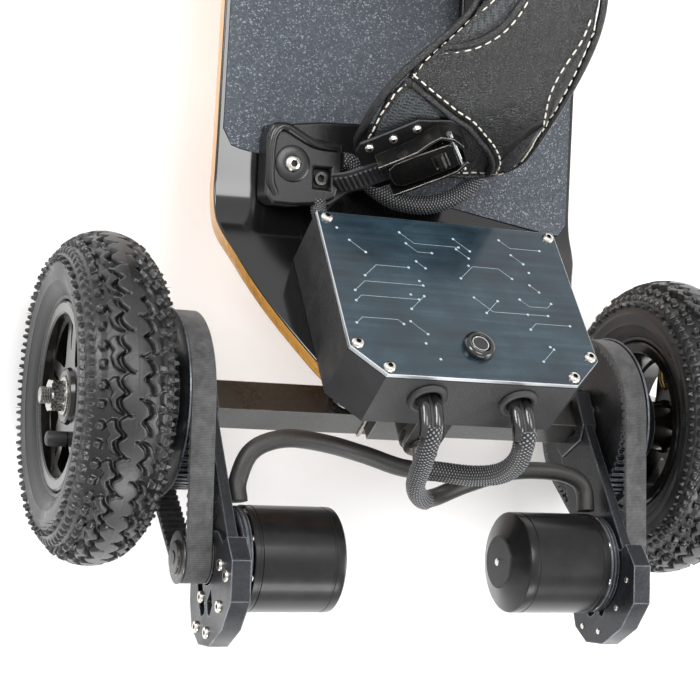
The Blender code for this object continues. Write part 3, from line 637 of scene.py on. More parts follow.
SMALL_SCREW = screw_mesh("small_screw", 3.8 * MM, 2.4 * MM, 1.7 * MM, 1.5 * MM)
MOUNT_SCREW = screw_mesh("mount_screw", 3.6 * MM, 2.6 * MM, 1.6 * MM, 1.5 * MM, dome=False)
TINY_SCREW = screw_mesh("tiny_screw", 2.5 * MM, 1.6 * MM, 1.1 * MM, 1.0 * MM)
BOLT = screw_mesh("deck_bolt", 5.6 * MM, 3.0 * MM, 2.4 * MM, 1.9 * MM)


def screw(name, data, body, at, direction, spin=0.0, slot=None):
    return put(name, data, None, body, facing(direction, at, spin), slot)


# ---------------------------------------------------------------- deck and grip tape

REACH = 0.045 * math.tan(TIP_ANGLE / 2)
DECK_FAR = 0.66


def deck_half_width_points():
    """(half width, y) down one side of the rear half, in the rear end frame."""
    cosine = math.cos(TIP_ANGLE)
    tip = [(40, 150), (58, 144), (70, 134), (80, 121), (96.5, 91), (109, 63.5), (118.5, 37), (125.2, 17)]
    points = [(half * MM, -along * MM * cosine) for half, along in tip]
    return points + [(0.1265, 0.004), (0.126, 0.060), (0.125, DECK_FAR / 2)]


def deck_height(y):
    """Height of the top face and its slope at a plan distance, rear half."""
    if y <= -REACH * math.cos(TIP_ANGLE):
        return -y * math.tan(TIP_ANGLE), TIP_ANGLE
    if y < REACH:
        slope = math.asin(min(1, (REACH - y) / 0.045))
        return 0.045 * (1 - math.cos(slope)), slope
    return 0.0, 0.0


def make_deck():
    """Ribs across the board, each a rounded section, with the depth below the top face kept for the plies."""
    quarter = smooth_path([(half / MM, y / MM, 0) for half, y in deck_half_width_points()], 8)
    rear = [(p.x, p.y) for p in quarter]
    low = -0.150 * math.cos(TIP_ANGLE)
    rear = [(half, max(low, y)) for half, y in rear]
    stations = []
    for half, y in rear:
        z, slope = deck_height(y)
        stations.append((half, y, z, slope))
    stations += [(half, DECK_FAR - y, z, -slope) for half, y, z, slope in reversed(stations[:-1])]
    edge = [(-1.6, 0), (-0.9, 0.12), (-0.4, 0.45), (-0.1, 1.0), (0, 1.9), (0, 4.3), (0, 6.0), (0, 8.0), (-0.4, 9.6),
            (-1.3, 10.6), (-2.6, 11)]
    ring = [(1, d, h) for d, h in edge] + [(-1, d, h) for d, h in reversed(edge)]
    verts, faces, depths = [], [], []
    for half, y, z, slope in stations:
        for side, inset, depth in ring:
            down = depth * MM
            verts.append((side * (half + inset * MM), y - math.sin(slope) * down, z - math.cos(slope) * down))
            depths.append(depth / 11)
    n = len(ring)
    for i in range(len(stations) - 1):
        faces += [[i * n + k, i * n + (k + 1) % n, (i + 1) * n + (k + 1) % n, (i + 1) * n + k] for k in range(n)]
    last = (len(stations) - 1) * n
    for start, flip in ((0, 1), (last, -1)):
        for k in range(len(edge) - 1):
            face = [start + k, start + k + 1, start + n - 2 - k, start + n - 1 - k]
            faces.append(face[::flip])
    made = mesh("deck_board", verts, faces, 30)
    layer = made.attributes.new("depth", "FLOAT", "POINT")
    layer.data.foreach_set("value", depths)
    bm = bmesh.new()
    bm.from_mesh(made)
    bmesh.ops.recalc_face_normals(bm, faces=bm.faces)
    bm.to_mesh(made)
    bm.free()
    put("deck_board", made, "deck", "deck", REAR_END, "deck_wood", ["deck"])
    make_grip_tape()


def make_grip_tape():
    """A skin over the deck's top face with rounded corners at its slanted ends."""
    def rear_edge(x):
        return 0.0188 - 0.16 * x

    def half_at(y):
        y = min(y, DECK_FAR - y)
        points = sorted((y, half) for half, y in deck_half_width_points())
        for (a, low), (b, high) in zip(points, points[1:]):
            if a <= y <= b:
                return low + (high - low) * (y - a) / (b - a) - 0.0036
        return points[-1][1] - 0.0036

    columns, rows = 40, 170
    verts, faces = [], []
    for i in range(rows + 1):
        for k in range(columns + 1):
            share = 2 * k / columns - 1
            x = 0.1228 * share
            start = rear_edge(x) + 0.010 * max(0, abs(share) - 0.93) ** 2 / 0.0049
            y = start + (DECK_FAR - 2 * start) * i / rows
            x = half_at(y) * share
            z, slope = deck_height(min(y, DECK_FAR - y))
            lean = slope if y < DECK_FAR / 2 else -slope
            for lift in (0.0004, 0.0012):
                verts.append((x, y + math.sin(lean) * lift, z + math.cos(lean) * lift))
    width = columns + 1
    for i in range(rows):
        for k in range(columns):
            a = 2 * (i * width + k)
            b, c, d = a + 2, a + 2 * width, a + 2 * width + 2
            faces += [[a + 1, b + 1, d + 1, c + 1], [a, c, d, b]]
    rim = [k for k in range(width)] + [i * width + columns for i in range(1, rows + 1)]
    rim += [rows * width + k for k in range(columns - 1, -1, -1)] + [i * width for i in range(rows - 1, 0, -1)]
    faces += [[2 * a, 2 * b, 2 * b + 1, 2 * a + 1] for a, b in zip(rim, rim[1:] + rim[:1])]
    put("grip_skin", mesh("grip_skin", verts, faces, 40), "grip", "deck", REAR_END, "grip_grit", ["grip_tape"])


make_deck()


# ---------------------------------------------------------------- controller

COVER_TOP = 0.0450
CASE_HALF, CASE_START, CASE_END, CASE_CHAMFER = 0.08075, 0.0408, 0.1635, 0.0193
COVER_SCREWS = [(-75, 45.9), (75.4, 45.9), (-75.6, 142.4), (-59.6, 158.6), (59.7, 158.2), (75.6, 142)]
BUTTON_AT = Vector((0.0014, -0.1397, COVER_TOP))


def make_cover_traces():
    """A sparse printed pattern: runs with a diagonal step, each end a dot. It is laid out by chance, with a fixed
    seed."""
    draw = random.Random(41)
    verts, faces = [], []
    z = COVER_TOP + 0.00005

    def dot(x, y, radius=0.0009):
        start = len(verts)
        verts.extend((x + radius * math.cos(TURN * i / 12), y + radius * math.sin(TURN * i / 12), z + 0.00003)
                     for i in range(12))
        faces.append(list(range(start, start + 12)))

    def line(a, b, width=0.00026):
        along = Vector(b) - Vector(a)
        side = Vector((-along.y, along.x)).normalized() * width / 2
        start = len(verts)
        for p in (Vector(a) - side, Vector(b) - side, Vector(b) + side, Vector(a) + side):
            verts.append((p.x, p.y, z))
        faces.append([start, start + 1, start + 2, start + 3])

    def free(x, y):
        inside = abs(x) < CASE_HALF - 0.007 and -CASE_END + 0.008 < y < -CASE_START - 0.007
        corner = abs(x) + abs(y) < CASE_HALF + CASE_END - CASE_CHAMFER - 0.012
        return inside and corner and (Vector((x, y)) - BUTTON_AT.xy).length > 0.016

    for row in range(9):
        for column in range(4):
            x = -0.068 + column * 0.038 + draw.uniform(-0.009, 0.009)
            y = -0.052 - row * 0.0122 + draw.uniform(-0.003, 0.003)
            run, step, kind = draw.uniform(0.008, 0.038), draw.uniform(0.004, 0.011), draw.random()
            step *= draw.choice((-1, 1))
            path = [(x, y), (x + abs(step), y + step), (x + abs(step) + run, y + step)]
            if kind < 0.3:
                path = path[:2]
            elif kind < 0.55:
                path.append((path[-1][0] + abs(step) * 0.7, path[-1][1] - step * 0.7))
            if not all(free(*p) for p in path):
                if free(x, y):
                    dot(x, y, 0.0009)
                continue
            if kind > 0.86:
                dot(x, y)
                continue
            for a, b in zip(path, path[1:]):
                line(a, b)
            dot(*path[0])
            dot(*path[-1])
    put("cover_print", mesh("cover_print", verts, faces), "trace", "deck", REAR_TIP, "cover_blue")


def make_controller():
    keep("controller_case", "case", 0.0022, 3)
    keep("controller_cover", "cover", 0.0005, 2)
    keep("motor_controller", "anodised", 0.001)
    for i, (x, along) in enumerate(COVER_SCREWS):
        screw(f"cover_screw_{i}", SMALL_SCREW, "deck", REAR_TIP @ Vector((x * MM, -along * MM, COVER_TOP)),
              REAR_TIP.to_3x3() @ Vector((0, 0, 1)), i * 0.7, "spring_steel")
    make_cover_traces()
    bezel = lathe_mesh("button_bezel_ring", [(9.7, 0.1), (9.7, 2.6), (9.2, 3.7), (8.0, 4.5), (6.9, 4.6), (6.1, 4.2),
                                             (5.9, 3.0), (5.9, 1.0)], 64)
    put("button_bezel_ring", bezel, "button", "deck", REAR_TIP @ Matrix.Translation(BUTTON_AT), "button_steel",
        ["button_bezel"])
    cap = lathe_mesh("button_cap", [(5.6, 0.8), (5.6, 3.6), (5.3, 3.9), (4.55, 3.95), (4.4, 3.7), (0, 3.5)], 64)
    put("button_cap", cap, "button", "power_button", REAR_TIP @ Matrix.Translation(BUTTON_AT), "button_steel",
        ["power_button"])
    ring = lathe_mesh("button_halo", [(5.35, 3.85), (5.25, 4.05), (4.75, 4.08), (4.6, 3.85)], 64)
    put("button_halo", ring, "silver", "power_button", REAR_TIP @ Matrix.Translation(BUTTON_AT), "button_steel")
    ring = [(8.7, 4), (8.7, 0.3), (11.9, 0.3), (12.1, -0.3), (11.8, -1.3), (10.9, -2.2), (9.6, -2.7), (8.4, -2.4),
            (7.6, -1.6), (7.4, -0.2), (7.4, 4)]
    for name, side in SIDES:
        at = REAR_TIP @ Matrix.Translation((side * 0.0295, -CASE_END - 0.0006, 0.026))
        at = at @ Matrix.Rotation(-math.pi / 2, 4, "X")
        put(f"grommet_{name}", lathe_mesh(f"grommet_{name}", ring, 48, True), "rubber", "deck", at, "grommet_rubber",
            [f"cable_grommet_{name}"])


make_controller()


# ---------------------------------------------------------------- cables

# Routes in the rear end frame, in millimetres, as the CAD part lays them
BATTERY_ROUTE = [(56, 279, 12.6), (56, 268, 12.6), (56, 245, 10.2), (56, 190, 8.5), (56, 110, 8.5), (58, 76, 9),
                 (56, 55, 11), (48, 34, 14), (33, 19, 16), (12, 11, 17), (-8, 11.5, 17), (-24, 18, 16.5),
                 (-36, 28, 16), (-43, 32.5, 16), (-48.6, 33, 16)]
CONTROLLER_ROUTE = [(-62, 7.6, 14.8), (-62, 1.5, 15.2), (-61.5, -6, 21.8), (-61, -11, 30), (-60, -16.7, 38.4),
                    (-60, -22.6, 43)]
PHASE_ROUTES = {
    "right": [(-29.5, -109.3, 118.4), (-29.5, -114.9, 122.7), (-29.5, -120, 126.7), (-29.5, -134, 129),
              (-28, -150, 117), (-22, -165, 95), (-8, -174, 74), (10, -174, 56), (36, -166, 46), (68, -157, 45),
              (96, -156, 49), (112, -160, 51), (118, -168, 52), (118, -180.1, 55)],
    "left": [(29.5, -109.3, 118.4), (29.5, -114.9, 122.7), (29.5, -120, 126.7), (31, -133, 128.5), (34, -147, 117),
             (33, -156, 98), (24, -159, 78), (8, -158, 60), (-10, -157, 48), (-34, -150, 43), (-62, -144, 47),
             (-90, -142, 52), (-110, -150, 52), (-118, -168, 52), (-118, -180.1, 55)],
}
BRAID_STRANDS = 11
BRAID_STEP = 0.0021


def braid_radius(radius, flat=1.0, lift=0.00035):
    """A sleeve's radius where its strands cross and where they dip."""
    def at(run, share):
        one = abs(math.cos(math.pi * (BRAID_STRANDS * share + run / BRAID_STEP)))
        two = abs(math.cos(math.pi * (BRAID_STRANDS * share - run / BRAID_STEP)))
        return radius - lift + 2 * lift * one * two, flat
    return at


def braid(name, path, radius, body, at=None, flat=1.0, step=0.0006, sides=44, **words):
    path, _ = resample(path, step)
    verts, faces, maps = sweep(path, braid_radius(radius, flat), sides)
    return put(name, mesh(name, verts, faces, 80, maps), "braid", body, at, **words)


def make_cables():
    lead = smooth_path(BATTERY_ROUTE, 8)
    obj = braid("power_lead", lead, 5.9 * MM, "deck", REAR_END, step=0.0008, sides=40, slot="cable_black",
                replaces=["battery_lead"])
    _, length = resample(lead, 0.002)
    [REAR_END @ p for p in resample(lead, 0.006)[0]]
    braid("controller_link", smooth_path(CONTROLLER_ROUTE, 6), 4.9 * MM, "deck", REAR_END, step=0.0008, sides=36,
          slot="cable_black", replaces=["controller_lead"])
    for name, route in PHASE_ROUTES.items():
        make_motor_lead(name, resample(smooth_path(route, 8), 0.001)[0])


SHRINK_END = 24
SLEEVE_END = {"right": 112, "left": 122}


def make_motor_lead(name, path):
    """Two heat-shrink ends leave the grommet, a sleeve covers them, and a jacket runs on to the motor.
    The path has a point for each millimetre."""
    parts = []
    across = Vector((3.9 * MM, 0, 0))
    for k, shift in enumerate((-across, across)):
        parts.append(tube(f"motor_lead_{name}_shrink_{k}", [p + shift for p in path[:SHRINK_END + 6]], 3.7 * MM,
                          "shrink", None, 0.001, 20))

    def sleeve(run, share):
        open_end = max(0.0, 1 - run / 0.012)
        wide, _ = braid_radius(6.4 * MM + 1.7 * MM * open_end)(run, share)
        return wide, 0.86 - 0.30 * open_end

    cover = resample(path[SHRINK_END:SLEEVE_END[name]], 0.0006)[0]
    verts, faces, maps = sweep(cover, sleeve, 44, up=Vector((0, -1, 0)))
    parts.append(put(f"motor_lead_{name}_sleeve", mesh("sleeve", verts, faces, 80, maps), "braid", None))

    def jacket(run, share):
        return 2.4 * MM + 3.2 * MM * min(1, max(0, run / MM - SHRINK_END) / 6)

    verts, faces, maps = sweep(resample(path, 0.002)[0], jacket, 24)
    lead = put(f"motor_lead_{name}", mesh("jacket", verts, faces, 50, maps), "cable", None,
               replaces=[f"phase_cable_{name}"])
    for part in (*parts, lead):
        part.data.transform(REAR_END)
        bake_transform(part)


make_cables()


# ---------------------------------------------------------------- wheels

TREAD = [(100, 0), (99.9, 2.6), (99.6, 5.2), (99.0, 8.0), (98.2, 11.0), (97.0, 14.0), (95.4, 17.0), (93.3, 19.9),
         (90.7, 22.6), (87.4, 24.8), (83.8, 26.4), (80.2, 27.3), (76.8, 27.5)]
PITCHES = 26
PITCH = TURN * 100 / PITCHES
GROOVE = 4.0


def tread_frames():
    """(distance from the middle, radius, x, normal) along half of the tread's outer face, in millimetres."""
    frames, run = [], 0.0
    for i, (r, x) in enumerate(TREAD):
        if i:
            run += math.hypot(r - TREAD[i - 1][0], x - TREAD[i - 1][1])
        a, b = TREAD[max(0, i - 1)], TREAD[min(len(TREAD) - 1, i + 1)]
        along = Vector((b[0] - a[0], b[1] - a[1])).normalized()
        frames.append((run, r, x, (along.y, -along.x)))
    return frames


TREAD_FRAMES = tread_frames()


def on_tread(v, s, height):
    """A point of the tyre: v across from the middle, s round it and height from the blocks' tops, in millimetres."""
    far = abs(v)
    k = 0
    while k < len(TREAD_FRAMES) - 2 and TREAD_FRAMES[k + 1][0] < far:
        k += 1
    (v0, r0, x0, n0), (v1, r1, x1, n1) = TREAD_FRAMES[k], TREAD_FRAMES[k + 1]
    share = (far - v0) / (v1 - v0)
    normal = Vector((n0[0] + (n1[0] - n0[0]) * share, n0[1] + (n1[1] - n0[1]) * share)).normalized()
    r = r0 + (r1 - r0) * share + normal.x * height
    x = math.copysign(x0 + (x1 - x0) * share + normal.y * height, v)
    angle = s / 100
    return x * MM, r * MM * math.sin(angle), r * MM * math.cos(angle)


def finely(outline, step):
    made = []
    for a, b in zip(outline, outline[1:] + outline[:1]):
        count = max(1, round(math.dist(a, b) / step))
        made += [(a[0] + (b[0] - a[0]) * i / count, a[1] + (b[1] - a[1]) * i / count) for i in range(count)]
    return made


# One pitch of the tyre's right half, in millimetres across from the middle and round it: a shoulder block, two
# knobs, a row of outer knobs and a short cut
SHOULDER_BLOCK = [(7, 0.8), (13.6, 0.8), (16.8, 3.4), (15.0, 7.4), (13.4, 9.2), (15.4, 12.6), (13.2, 18.4),
                  (10.4, 20.6), (7, 21.6)]
HEX_KNOB = [(20.2 + 3.1 * math.cos(TURN * i / 6), 5.2 + 3.1 * math.sin(TURN * i / 6)) for i in range(6)]
SQUARE_KNOB = [(18.2, 14.6), (22.6, 14.2), (23.0, 18.6), (18.6, 19.2)]
OUTER_KNOBS = [[(26.4, 0.8), (30.4, 0.0), (31.4, 4.6), (27.0, 5.4)],
               [(26.6, 9.4), (30.8, 8.8), (31.2, 12.8), (27.0, 13.4)],
               [(26.4, 17.2), (30.2, 17.0), (31.4, 21.0), (27.2, 21.6)]]
SHORT_CUT = [(1.2, 21.9), (5.6, 20.9), (5.8, 22.1), (1.4, 23.0)]


def outside(outline, v, s):
    """Distance from a place to an outline, negative inside it."""
    near, inside = 1e9, False
    for (v0, s0), (v1, s1) in zip(outline, outline[1:] + outline[:1]):
        along = ((v - v0) * (v1 - v0) + (s - s0) * (s1 - s0)) / ((v1 - v0) ** 2 + (s1 - s0) ** 2)
        along = max(0.0, min(1.0, along))
        near = min(near, math.hypot(v - v0 - along * (v1 - v0), s - s0 - along * (s1 - s0)))
        if (s0 > s) != (s1 > s) and v < v0 + (s - s0) / (s1 - s0) * (v1 - v0):
            inside = not inside
    return -near if inside else near


def step_down(distance, wide=0.75):
    """1 inside a shape, 0 outside it, with a rounded wall between."""
    share = max(0.0, min(1.0, 0.5 - distance / (2 * wide)))
    return share * share * (3 - 2 * share)


def tread_relief(v, s):
    """Share of the tread's height at a place of one pitch: a smooth middle, a wavy groove, blocks, then knobs."""
    wave = 6.6 + 2.1 * math.sin(TURN * 2 * s / PITCH) + 0.5 * math.sin(TURN * 4 * s / PITCH + 1)
    high = step_down(v - wave)
    for turn in (-PITCH, 0, PITCH):
        block = max(outside(SHOULDER_BLOCK, v, s + turn), wave + 3.0 - v)
        high = max(high, 0.96 * step_down(block))
        dimple = 0.22 * step_down(outside(HEX_KNOB, v, s + turn) + 1.9, 0.4)
        high = max(high, step_down(outside(HEX_KNOB, v, s + turn)) - dimple)
        high = max(high, 0.92 * step_down(outside(SQUARE_KNOB, v, s + turn)))
        for knob in OUTER_KNOBS:
            high = max(high, 0.9 * step_down(outside(knob, v, s + turn)))
        high -= 0.5 * step_down(outside(SHORT_CUT, v, s + turn), 0.4)
    if v < 1:
        high += 0.05 * step_down(v - 0.3, 0.3)
    return high


def tyre_mesh():
    rows, columns = 56, 34
    reach = TREAD_FRAMES[-1][0]
    verts, faces, depth = [], [], []
    relief = [[tread_relief(reach * r / rows, PITCH * c / columns) for c in range(columns)] for r in range(rows + 1)]
    floors = [GROOVE if reach * r / rows < 22 else GROOVE - (GROOVE - 0.9) * min(1, (reach * r / rows - 22) / 11)
              for r in range(rows + 1)]
    around = PITCHES * columns
    for i in range(around):
        for r in range(-rows, rows + 1):
            shift = 0 if r >= 0 else round(columns * 0.45)
            column = (i + shift) % columns if r >= 0 else (-i + shift) % columns
            share = relief[abs(r)][column]
            if r == 0:
                share = 1.03
            verts.append(on_tread(reach * r / rows, i * PITCH / columns, (share - 1) * floors[abs(r)]))
            depth.append((1 - share) * floors[abs(r)] / GROOVE)
    n = 2 * rows + 1
    for i in range(around):
        j = (i + 1) % around
        faces += [[i * n + k, i * n + k + 1, j * n + k + 1, j * n + k] for k in range(2 * rows)]

    def spike(v, s, width, tall):
        start = len(verts)
        verts.extend(on_tread(v + dv, s + ds, -2.2) for dv, ds in ((-width, -width), (width, -width), (width, width),
                                                                    (-width, width)))
        verts.extend(on_tread(v + dv, s + ds, tall) for dv, ds in ((-0.6, -0.7), (0.6, -0.7), (0.6, 0.7), (-0.6, 0.7)))
        faces.append([start + 4, start + 5, start + 6, start + 7])
        faces.extend([start + i, start + (i + 1) % 4, start + 4 + (i + 1) % 4, start + 4 + i] for i in range(4))
        depth.extend([0.7] * 4 + [0.1] * 4)

    draw = random.Random(7)
    for i in range(PITCHES):
        for sign in (1, -1):
            for k in range(4):
                spike(sign * (34.8 + 1.2 * (k % 2)), k * PITCH / 4 + i * PITCH, 2.1, 1.9 - 0.6 * (k % 2))
    for i in range(PITCHES * 3):
        sign = 1 if i % 2 else -1
        v, s = sign * draw.choice((33.0, 36.5, 39.0)), i * PITCH / 3 + draw.uniform(-2, 2)
        start = len(verts)
        verts.extend(on_tread(v + 0.3 * math.cos(a), s + 0.3 * math.sin(a), -0.9) for a in (0, 2.1, 4.2))
        verts.append(on_tread(v + sign * 0.6, s + 0.5, draw.uniform(2.4, 4.2)))
        faces.extend([start + a, start + (a + 1) % 3, start + 3] for a in range(3))
        depth.extend([0.3] * 4)

    x, _, r = on_tread(reach, 0, -0.9)
    wall = [(r / MM, x / MM), (75.4, 26.9), (74.6, 27.2), (73.8, 26.8), (70, 26.2), (68.8, 25.8), (68.2, 26.1),
            (67.6, 25.4), (64, 23.8), (61.6, 22.0), (60.2, 20.4), (59.2, 20.9), (58.2, 20.6), (57.4, 19.2),
            (56.9, 18.2), (54.6, 17.6)]
    for sign in (1, -1):
        shell, bands = lathe(mmp([(r, sign * x) for r, x in wall]), 156)
        start = len(verts)
        verts += [(z, x, y) for x, y, z in shell]
        depth += [0.2] * len(shell)
        faces += [[start + v for v in face] for face in bands]
    made = mesh("tyre", verts, faces, 70)
    bm = bmesh.new()
    bm.from_mesh(made)
    bmesh.ops.recalc_face_normals(bm, faces=bm.faces)
    bm.to_mesh(made)
    bm.free()
    made.set_sharp_from_angle(angle=math.radians(70))
    # The map "height" holds how deep each point lies below the blocks' tops; the tyre's look paints shade into the
    # grooves from it.
    height = made.attributes.new("height", "FLOAT", "POINT")
    height.data.foreach_set("value", [max(0.0, min(1.0, d)) for d in depth])
    return made


def rim_window():
    """One opening between two spokes, as a rounded outline about the axle, in metres."""
    corners = [(24, -0.16), (45.5, -0.455), (46.2, -0.3), (46.4, 0.0), (46.2, 0.3), (45.5, 0.455), (24, 0.16),
               (21.2, 0.0)]
    points = []
    for (r0, a0), (r1, a1) in zip(corners, corners[1:] + corners[:1]):
        for k in range(4):
            r, a = r0 + (r1 - r0) * k / 4, a0 + (a1 - a0) * k / 4
            points.append(Vector((r * math.cos(a), r * math.sin(a))))
    for _ in range(2):
        points = [(points[i - 1] + 2 * p + points[(i + 1) % len(points)]) / 4 for i, p in enumerate(points)]
    return [tuple(p * MM) for p in points]


def turned_outline(outline, angle):
    c, s = math.cos(angle), math.sin(angle)
    return [(x * c - y * s, x * s + y * c) for x, y in outline]


def rim_meshes():
    """The rim's barrel and its spoked face about Z, outer side up."""
    barrel = lathe_mesh("rim_barrel", [(49, 20.2), (50.2, 21.0), (55.4, 21.0), (56.6, 20.2), (56.7, 19.4), (54.6, 18.4),
                                       (53.4, 16), (53.2, 8), (50.6, 4), (50.6, -4), (53.2, -8), (53.4, -16),
                                       (54.6, -18.4), (56.7, -19.4), (56.6, -20.2), (55.4, -21), (50.2, -21),
                                       (49, -20.2), (48.6, -12), (47.6, 0), (48.2, 10), (48.8, 16)], 96, True, 28)
    window = rim_window()
    slit = [(0.0285, -0.0007), (0.0445, -0.0022), (0.0452, 0), (0.0445, 0.0022), (0.0285, 0.0007), (0.0275, 0)]
    holes = [turned_outline(window, TURN * i / 5) for i in range(5)]
    holes += [turned_outline(slit, TURN * (i + 0.5) / 5) for i in range(5)]
    face = flat_shape("rim_face", [ring_points(0.0488, 96), ring_points(0.0165, 48), *holes], 0.0048, 0.0148)
    hub = lathe_mesh("rim_hub", [(11.1, 17.2), (12.2, 17.8), (15.2, 17.8), (16.4, 17.0), (17.4, 14.6), (20.5, 13.4),
                                 (20.5, 6.2), (17.2, 4), (17, -18.4), (16.2, -19.2), (11.1, -19.2)], 64, True, 30)
    return barrel, face, hub


def hex_mesh(name, across, low, high, bore):
    """A chamfered hex nut about Z, sizes in millimetres."""
    corner = across / math.sqrt(3)
    verts, faces = [], []
    rings = [(corner * 0.9, low, 1), (corner, low + 0.9, 0), (corner, high - 0.9, 0), (corner * 0.9, high, 1),
             (bore + 0.5, high, 1), (bore, high - 0.5, 1), (bore, low, 1)]
    steps = 36
    for radius, z, round_ring in rings:
        for i in range(steps):
            a = TURN * i / steps
            r = radius if round_ring else min(radius, across / 2 / math.cos((a % (math.pi / 3)) - math.pi / 6))
            verts.append((r * MM * math.cos(a), r * MM * math.sin(a), z * MM))
    for k in range(len(rings)):
        a, b = k * steps, (k + 1) % len(rings) * steps
        faces += [[a + i, a + (i + 1) % steps, b + (i + 1) % steps, b + i] for i in range(steps)]
    return mesh(name, verts, faces, 25)


def threaded(name, radius, low, high, pitch, depth, sides=28):
    """A stud with a fine thread about Z, in millimetres."""
    profile, z = [(0, low)], low
    while z < high - 1:
        profile += [(radius, z), (radius - depth, z + pitch / 2)]
        z += pitch
    profile += [(radius, high - 0.9), (radius - 0.9, high), (0, high)]
    return lathe_mesh(name, profile, sides, sharp=20)


def make_wheels():
    tyre = tyre_mesh()
    barrel, face, hub = rim_meshes()
    ring = lathe_mesh("bearing_ring", [(11, 16.6), (10.6, 16.9), (9.2, 16.9), (8.9, 16.5), (7.2, 16.5), (6.9, 16.9),
                                       (5.7, 16.9), (5.2, 16.5), (5.2, 9.6), (11, 9.6)], 48, True, 30)
    nut = hex_mesh("axle_nut", 18, 216.6, 224.6, 5.2)
    washer = lathe_mesh("axle_washer", [(5.3, 214.9), (5.3, 216.5), (11.2, 216.5), (11.5, 216.2), (11.5, 215.1),
                                        (11.2, 214.9)], 40, True, 30)
    stud = threaded("axle_stud", 5.05, 224.2, 230.0, 1.0, 0.5)
    stem = tube_mesh("valve_stem", smooth_path([(48.5, 0, 2), (40, 0, 1.5), (31, 0, 2.5), (26.5, 0, 6), (25.5, 0, 12),
                                                (25.5, 0, 18)], 5), 2.5 * MM, 18)
    cap = lathe_mesh("valve_cap", [(2.4, 14.5), (4.2, 14.5), (4.6, 15.0), (4.6, 25.4), (4.1, 26.4), (2.8, 27),
                                   (0, 27.1)], 28, sharp=30)
    tip = lathe_mesh("valve_tip", [(0, -0.6), (4.2, -0.6), (5.4, 0.2), (4.2, 1.8), (3.2, 2.4)], 24, sharp=30)
    seat = Matrix.Translation((0.0475, 0, 0.002)) @ Matrix.Rotation(-math.pi / 2, 4, "Y")
    for end_name, end in (("rear", REAR_END), ("front", FRONT_END)):
        for name, side in SIDES:
            body = f"{end_name}_{name}_wheel"
            x = side * TRACK_HALF
            local = x if end_name == "rear" else -x
            at = end @ Matrix.Translation((local, AXLE.y, AXLE.z))
            outward = Matrix.Rotation(math.copysign(math.pi / 2, local), 4, "Y")
            put(f"{body}_tread", tyre, "tyre", body, at @ Matrix.Rotation(0.03 * side, 4, "X"), "tyre_rubber",
                [f"{end_name}_{name}_tyre"])
            spin = Matrix.Rotation(math.radians(54), 4, "Z")
            for piece, data, bevel in (("barrel", barrel, 0), ("spokes", face, 1.1 * MM), ("hub", hub, 0)):
                put(f"{body}_{piece}", data, "rim", body, at @ outward @ spin, "rim_black",
                    [f"{end_name}_{name}_rim"] if piece == "barrel" else (), bevel, segments=3)
            put(f"{body}_bearing", ring, "steel", body, at @ outward, "bearing_steel", [f"{end_name}_{name}_bearing"])
            hanger = f"{end_name}_hanger"
            axis = end @ Matrix.Translation((0, AXLE.y, AXLE.z)) @ outward
            put(f"{body}_nut", nut, "steel", hanger, axis, "kingpin_steel")
            put(f"{body}_washer", washer, "steel", hanger, axis, "kingpin_steel")
            put(f"{body}_stud", stud, "steel", hanger, axis, "kingpin_steel")
            down = Matrix.Rotation(-math.pi / 2 if local < 0 else math.pi / 2, 4, "Z")
            for piece, data, look, place in (("stem", stem, "brass", Matrix.Identity(4)),
                                             ("cap", cap, "rubber", Matrix.Translation((0.0255, 0, 0))),
                                             ("seat", tip, "rubber", seat)):
                put(f"{body}_valve_{piece}", data, look, body, at @ outward @ down @ place, "rim_black")


make_wheels()


# ---------------------------------------------------------------- belt drive

TEETH, MOTOR_TEETH = 68, 16
WHEEL_RADIUS, MOTOR_RADIUS = 53.4, 12.1
BELT_HALF = 7.5
MOUNT_ARM = [(-19.5, -15), (-19.5, 10), (-12, 19), (12, 19), (67, 26), (106, 31), (112, 30), (112, -30), (100, -30),
             (84, -24), (12, -17)]
MOUNT_BLOCK = [(105, 38), (121, 42), (142, 32), (151, 12), (152, -13), (144, -31), (130, -40), (114, -38), (98, -31),
               (84, -22), (84, 2), (96, 24), (106, 30)]
MOUNT_SLOT = [(108, -19), (110, -21), (129, -22), (131, -20), (131, -15), (129, -13), (110, -12), (108, -14)]
MOUNT_WINDOW = [(122, 2), (132, 1), (136, -6), (134, -9), (126, -8)]
MOUNT_SCREWS = [(115.5, 22), (125.5, 30), (120, -16.5), (137, 12), (133, -31), (143, -14)]


def drive_matrix(side):
    """X along the line from axle to motor, Y across it, and Z outward on that side, from the axle's middle."""
    along = Vector((0, -math.cos(MOTOR_ANGLE), math.sin(MOTOR_ANGLE)))
    out = Vector((side, 0, 0))
    turn = Matrix((along, out.cross(along), out)).transposed().to_4x4()
    return REAR_END @ Matrix.Translation((0, AXLE.y, AXLE.z)) @ turn


def in_plane(points, side):
    """Outline points for a shape laid out with drive_matrix."""
    return [(a * MM, -side * b * MM) for a, b in points]


def tooth_dip(share):
    """How deep a groove is at a share of the tooth pitch, from 0 to 1."""
    far = abs((share + 0.5) % 1 - 0.5)
    return max(0.0, min(1.0, (0.30 - far) / 0.10))


def gear_mesh(name, teeth, radius, deep, low, high, bore):
    """A toothed ring about Z, in millimetres, one groove at angle 0."""
    steps = teeth * 10
    verts, faces = [], []
    for z in (low, high):
        for i in range(steps):
            r = radius - deep * tooth_dip(i / 10)
            verts.append((r * MM * math.cos(TURN * i / steps), r * MM * math.sin(TURN * i / steps), z * MM))
    for z in (low, high):
        verts += [(bore * MM * math.cos(TURN * i / steps), bore * MM * math.sin(TURN * i / steps), z * MM)
                  for i in range(steps)]
    for i in range(steps):
        j = (i + 1) % steps
        faces += [[i, j, steps + j, steps + i], [steps + i, steps + j, 3 * steps + j, 3 * steps + i],
                  [2 * steps + i, 2 * steps + j, j, i]]
    return mesh(name, verts, faces, 30)


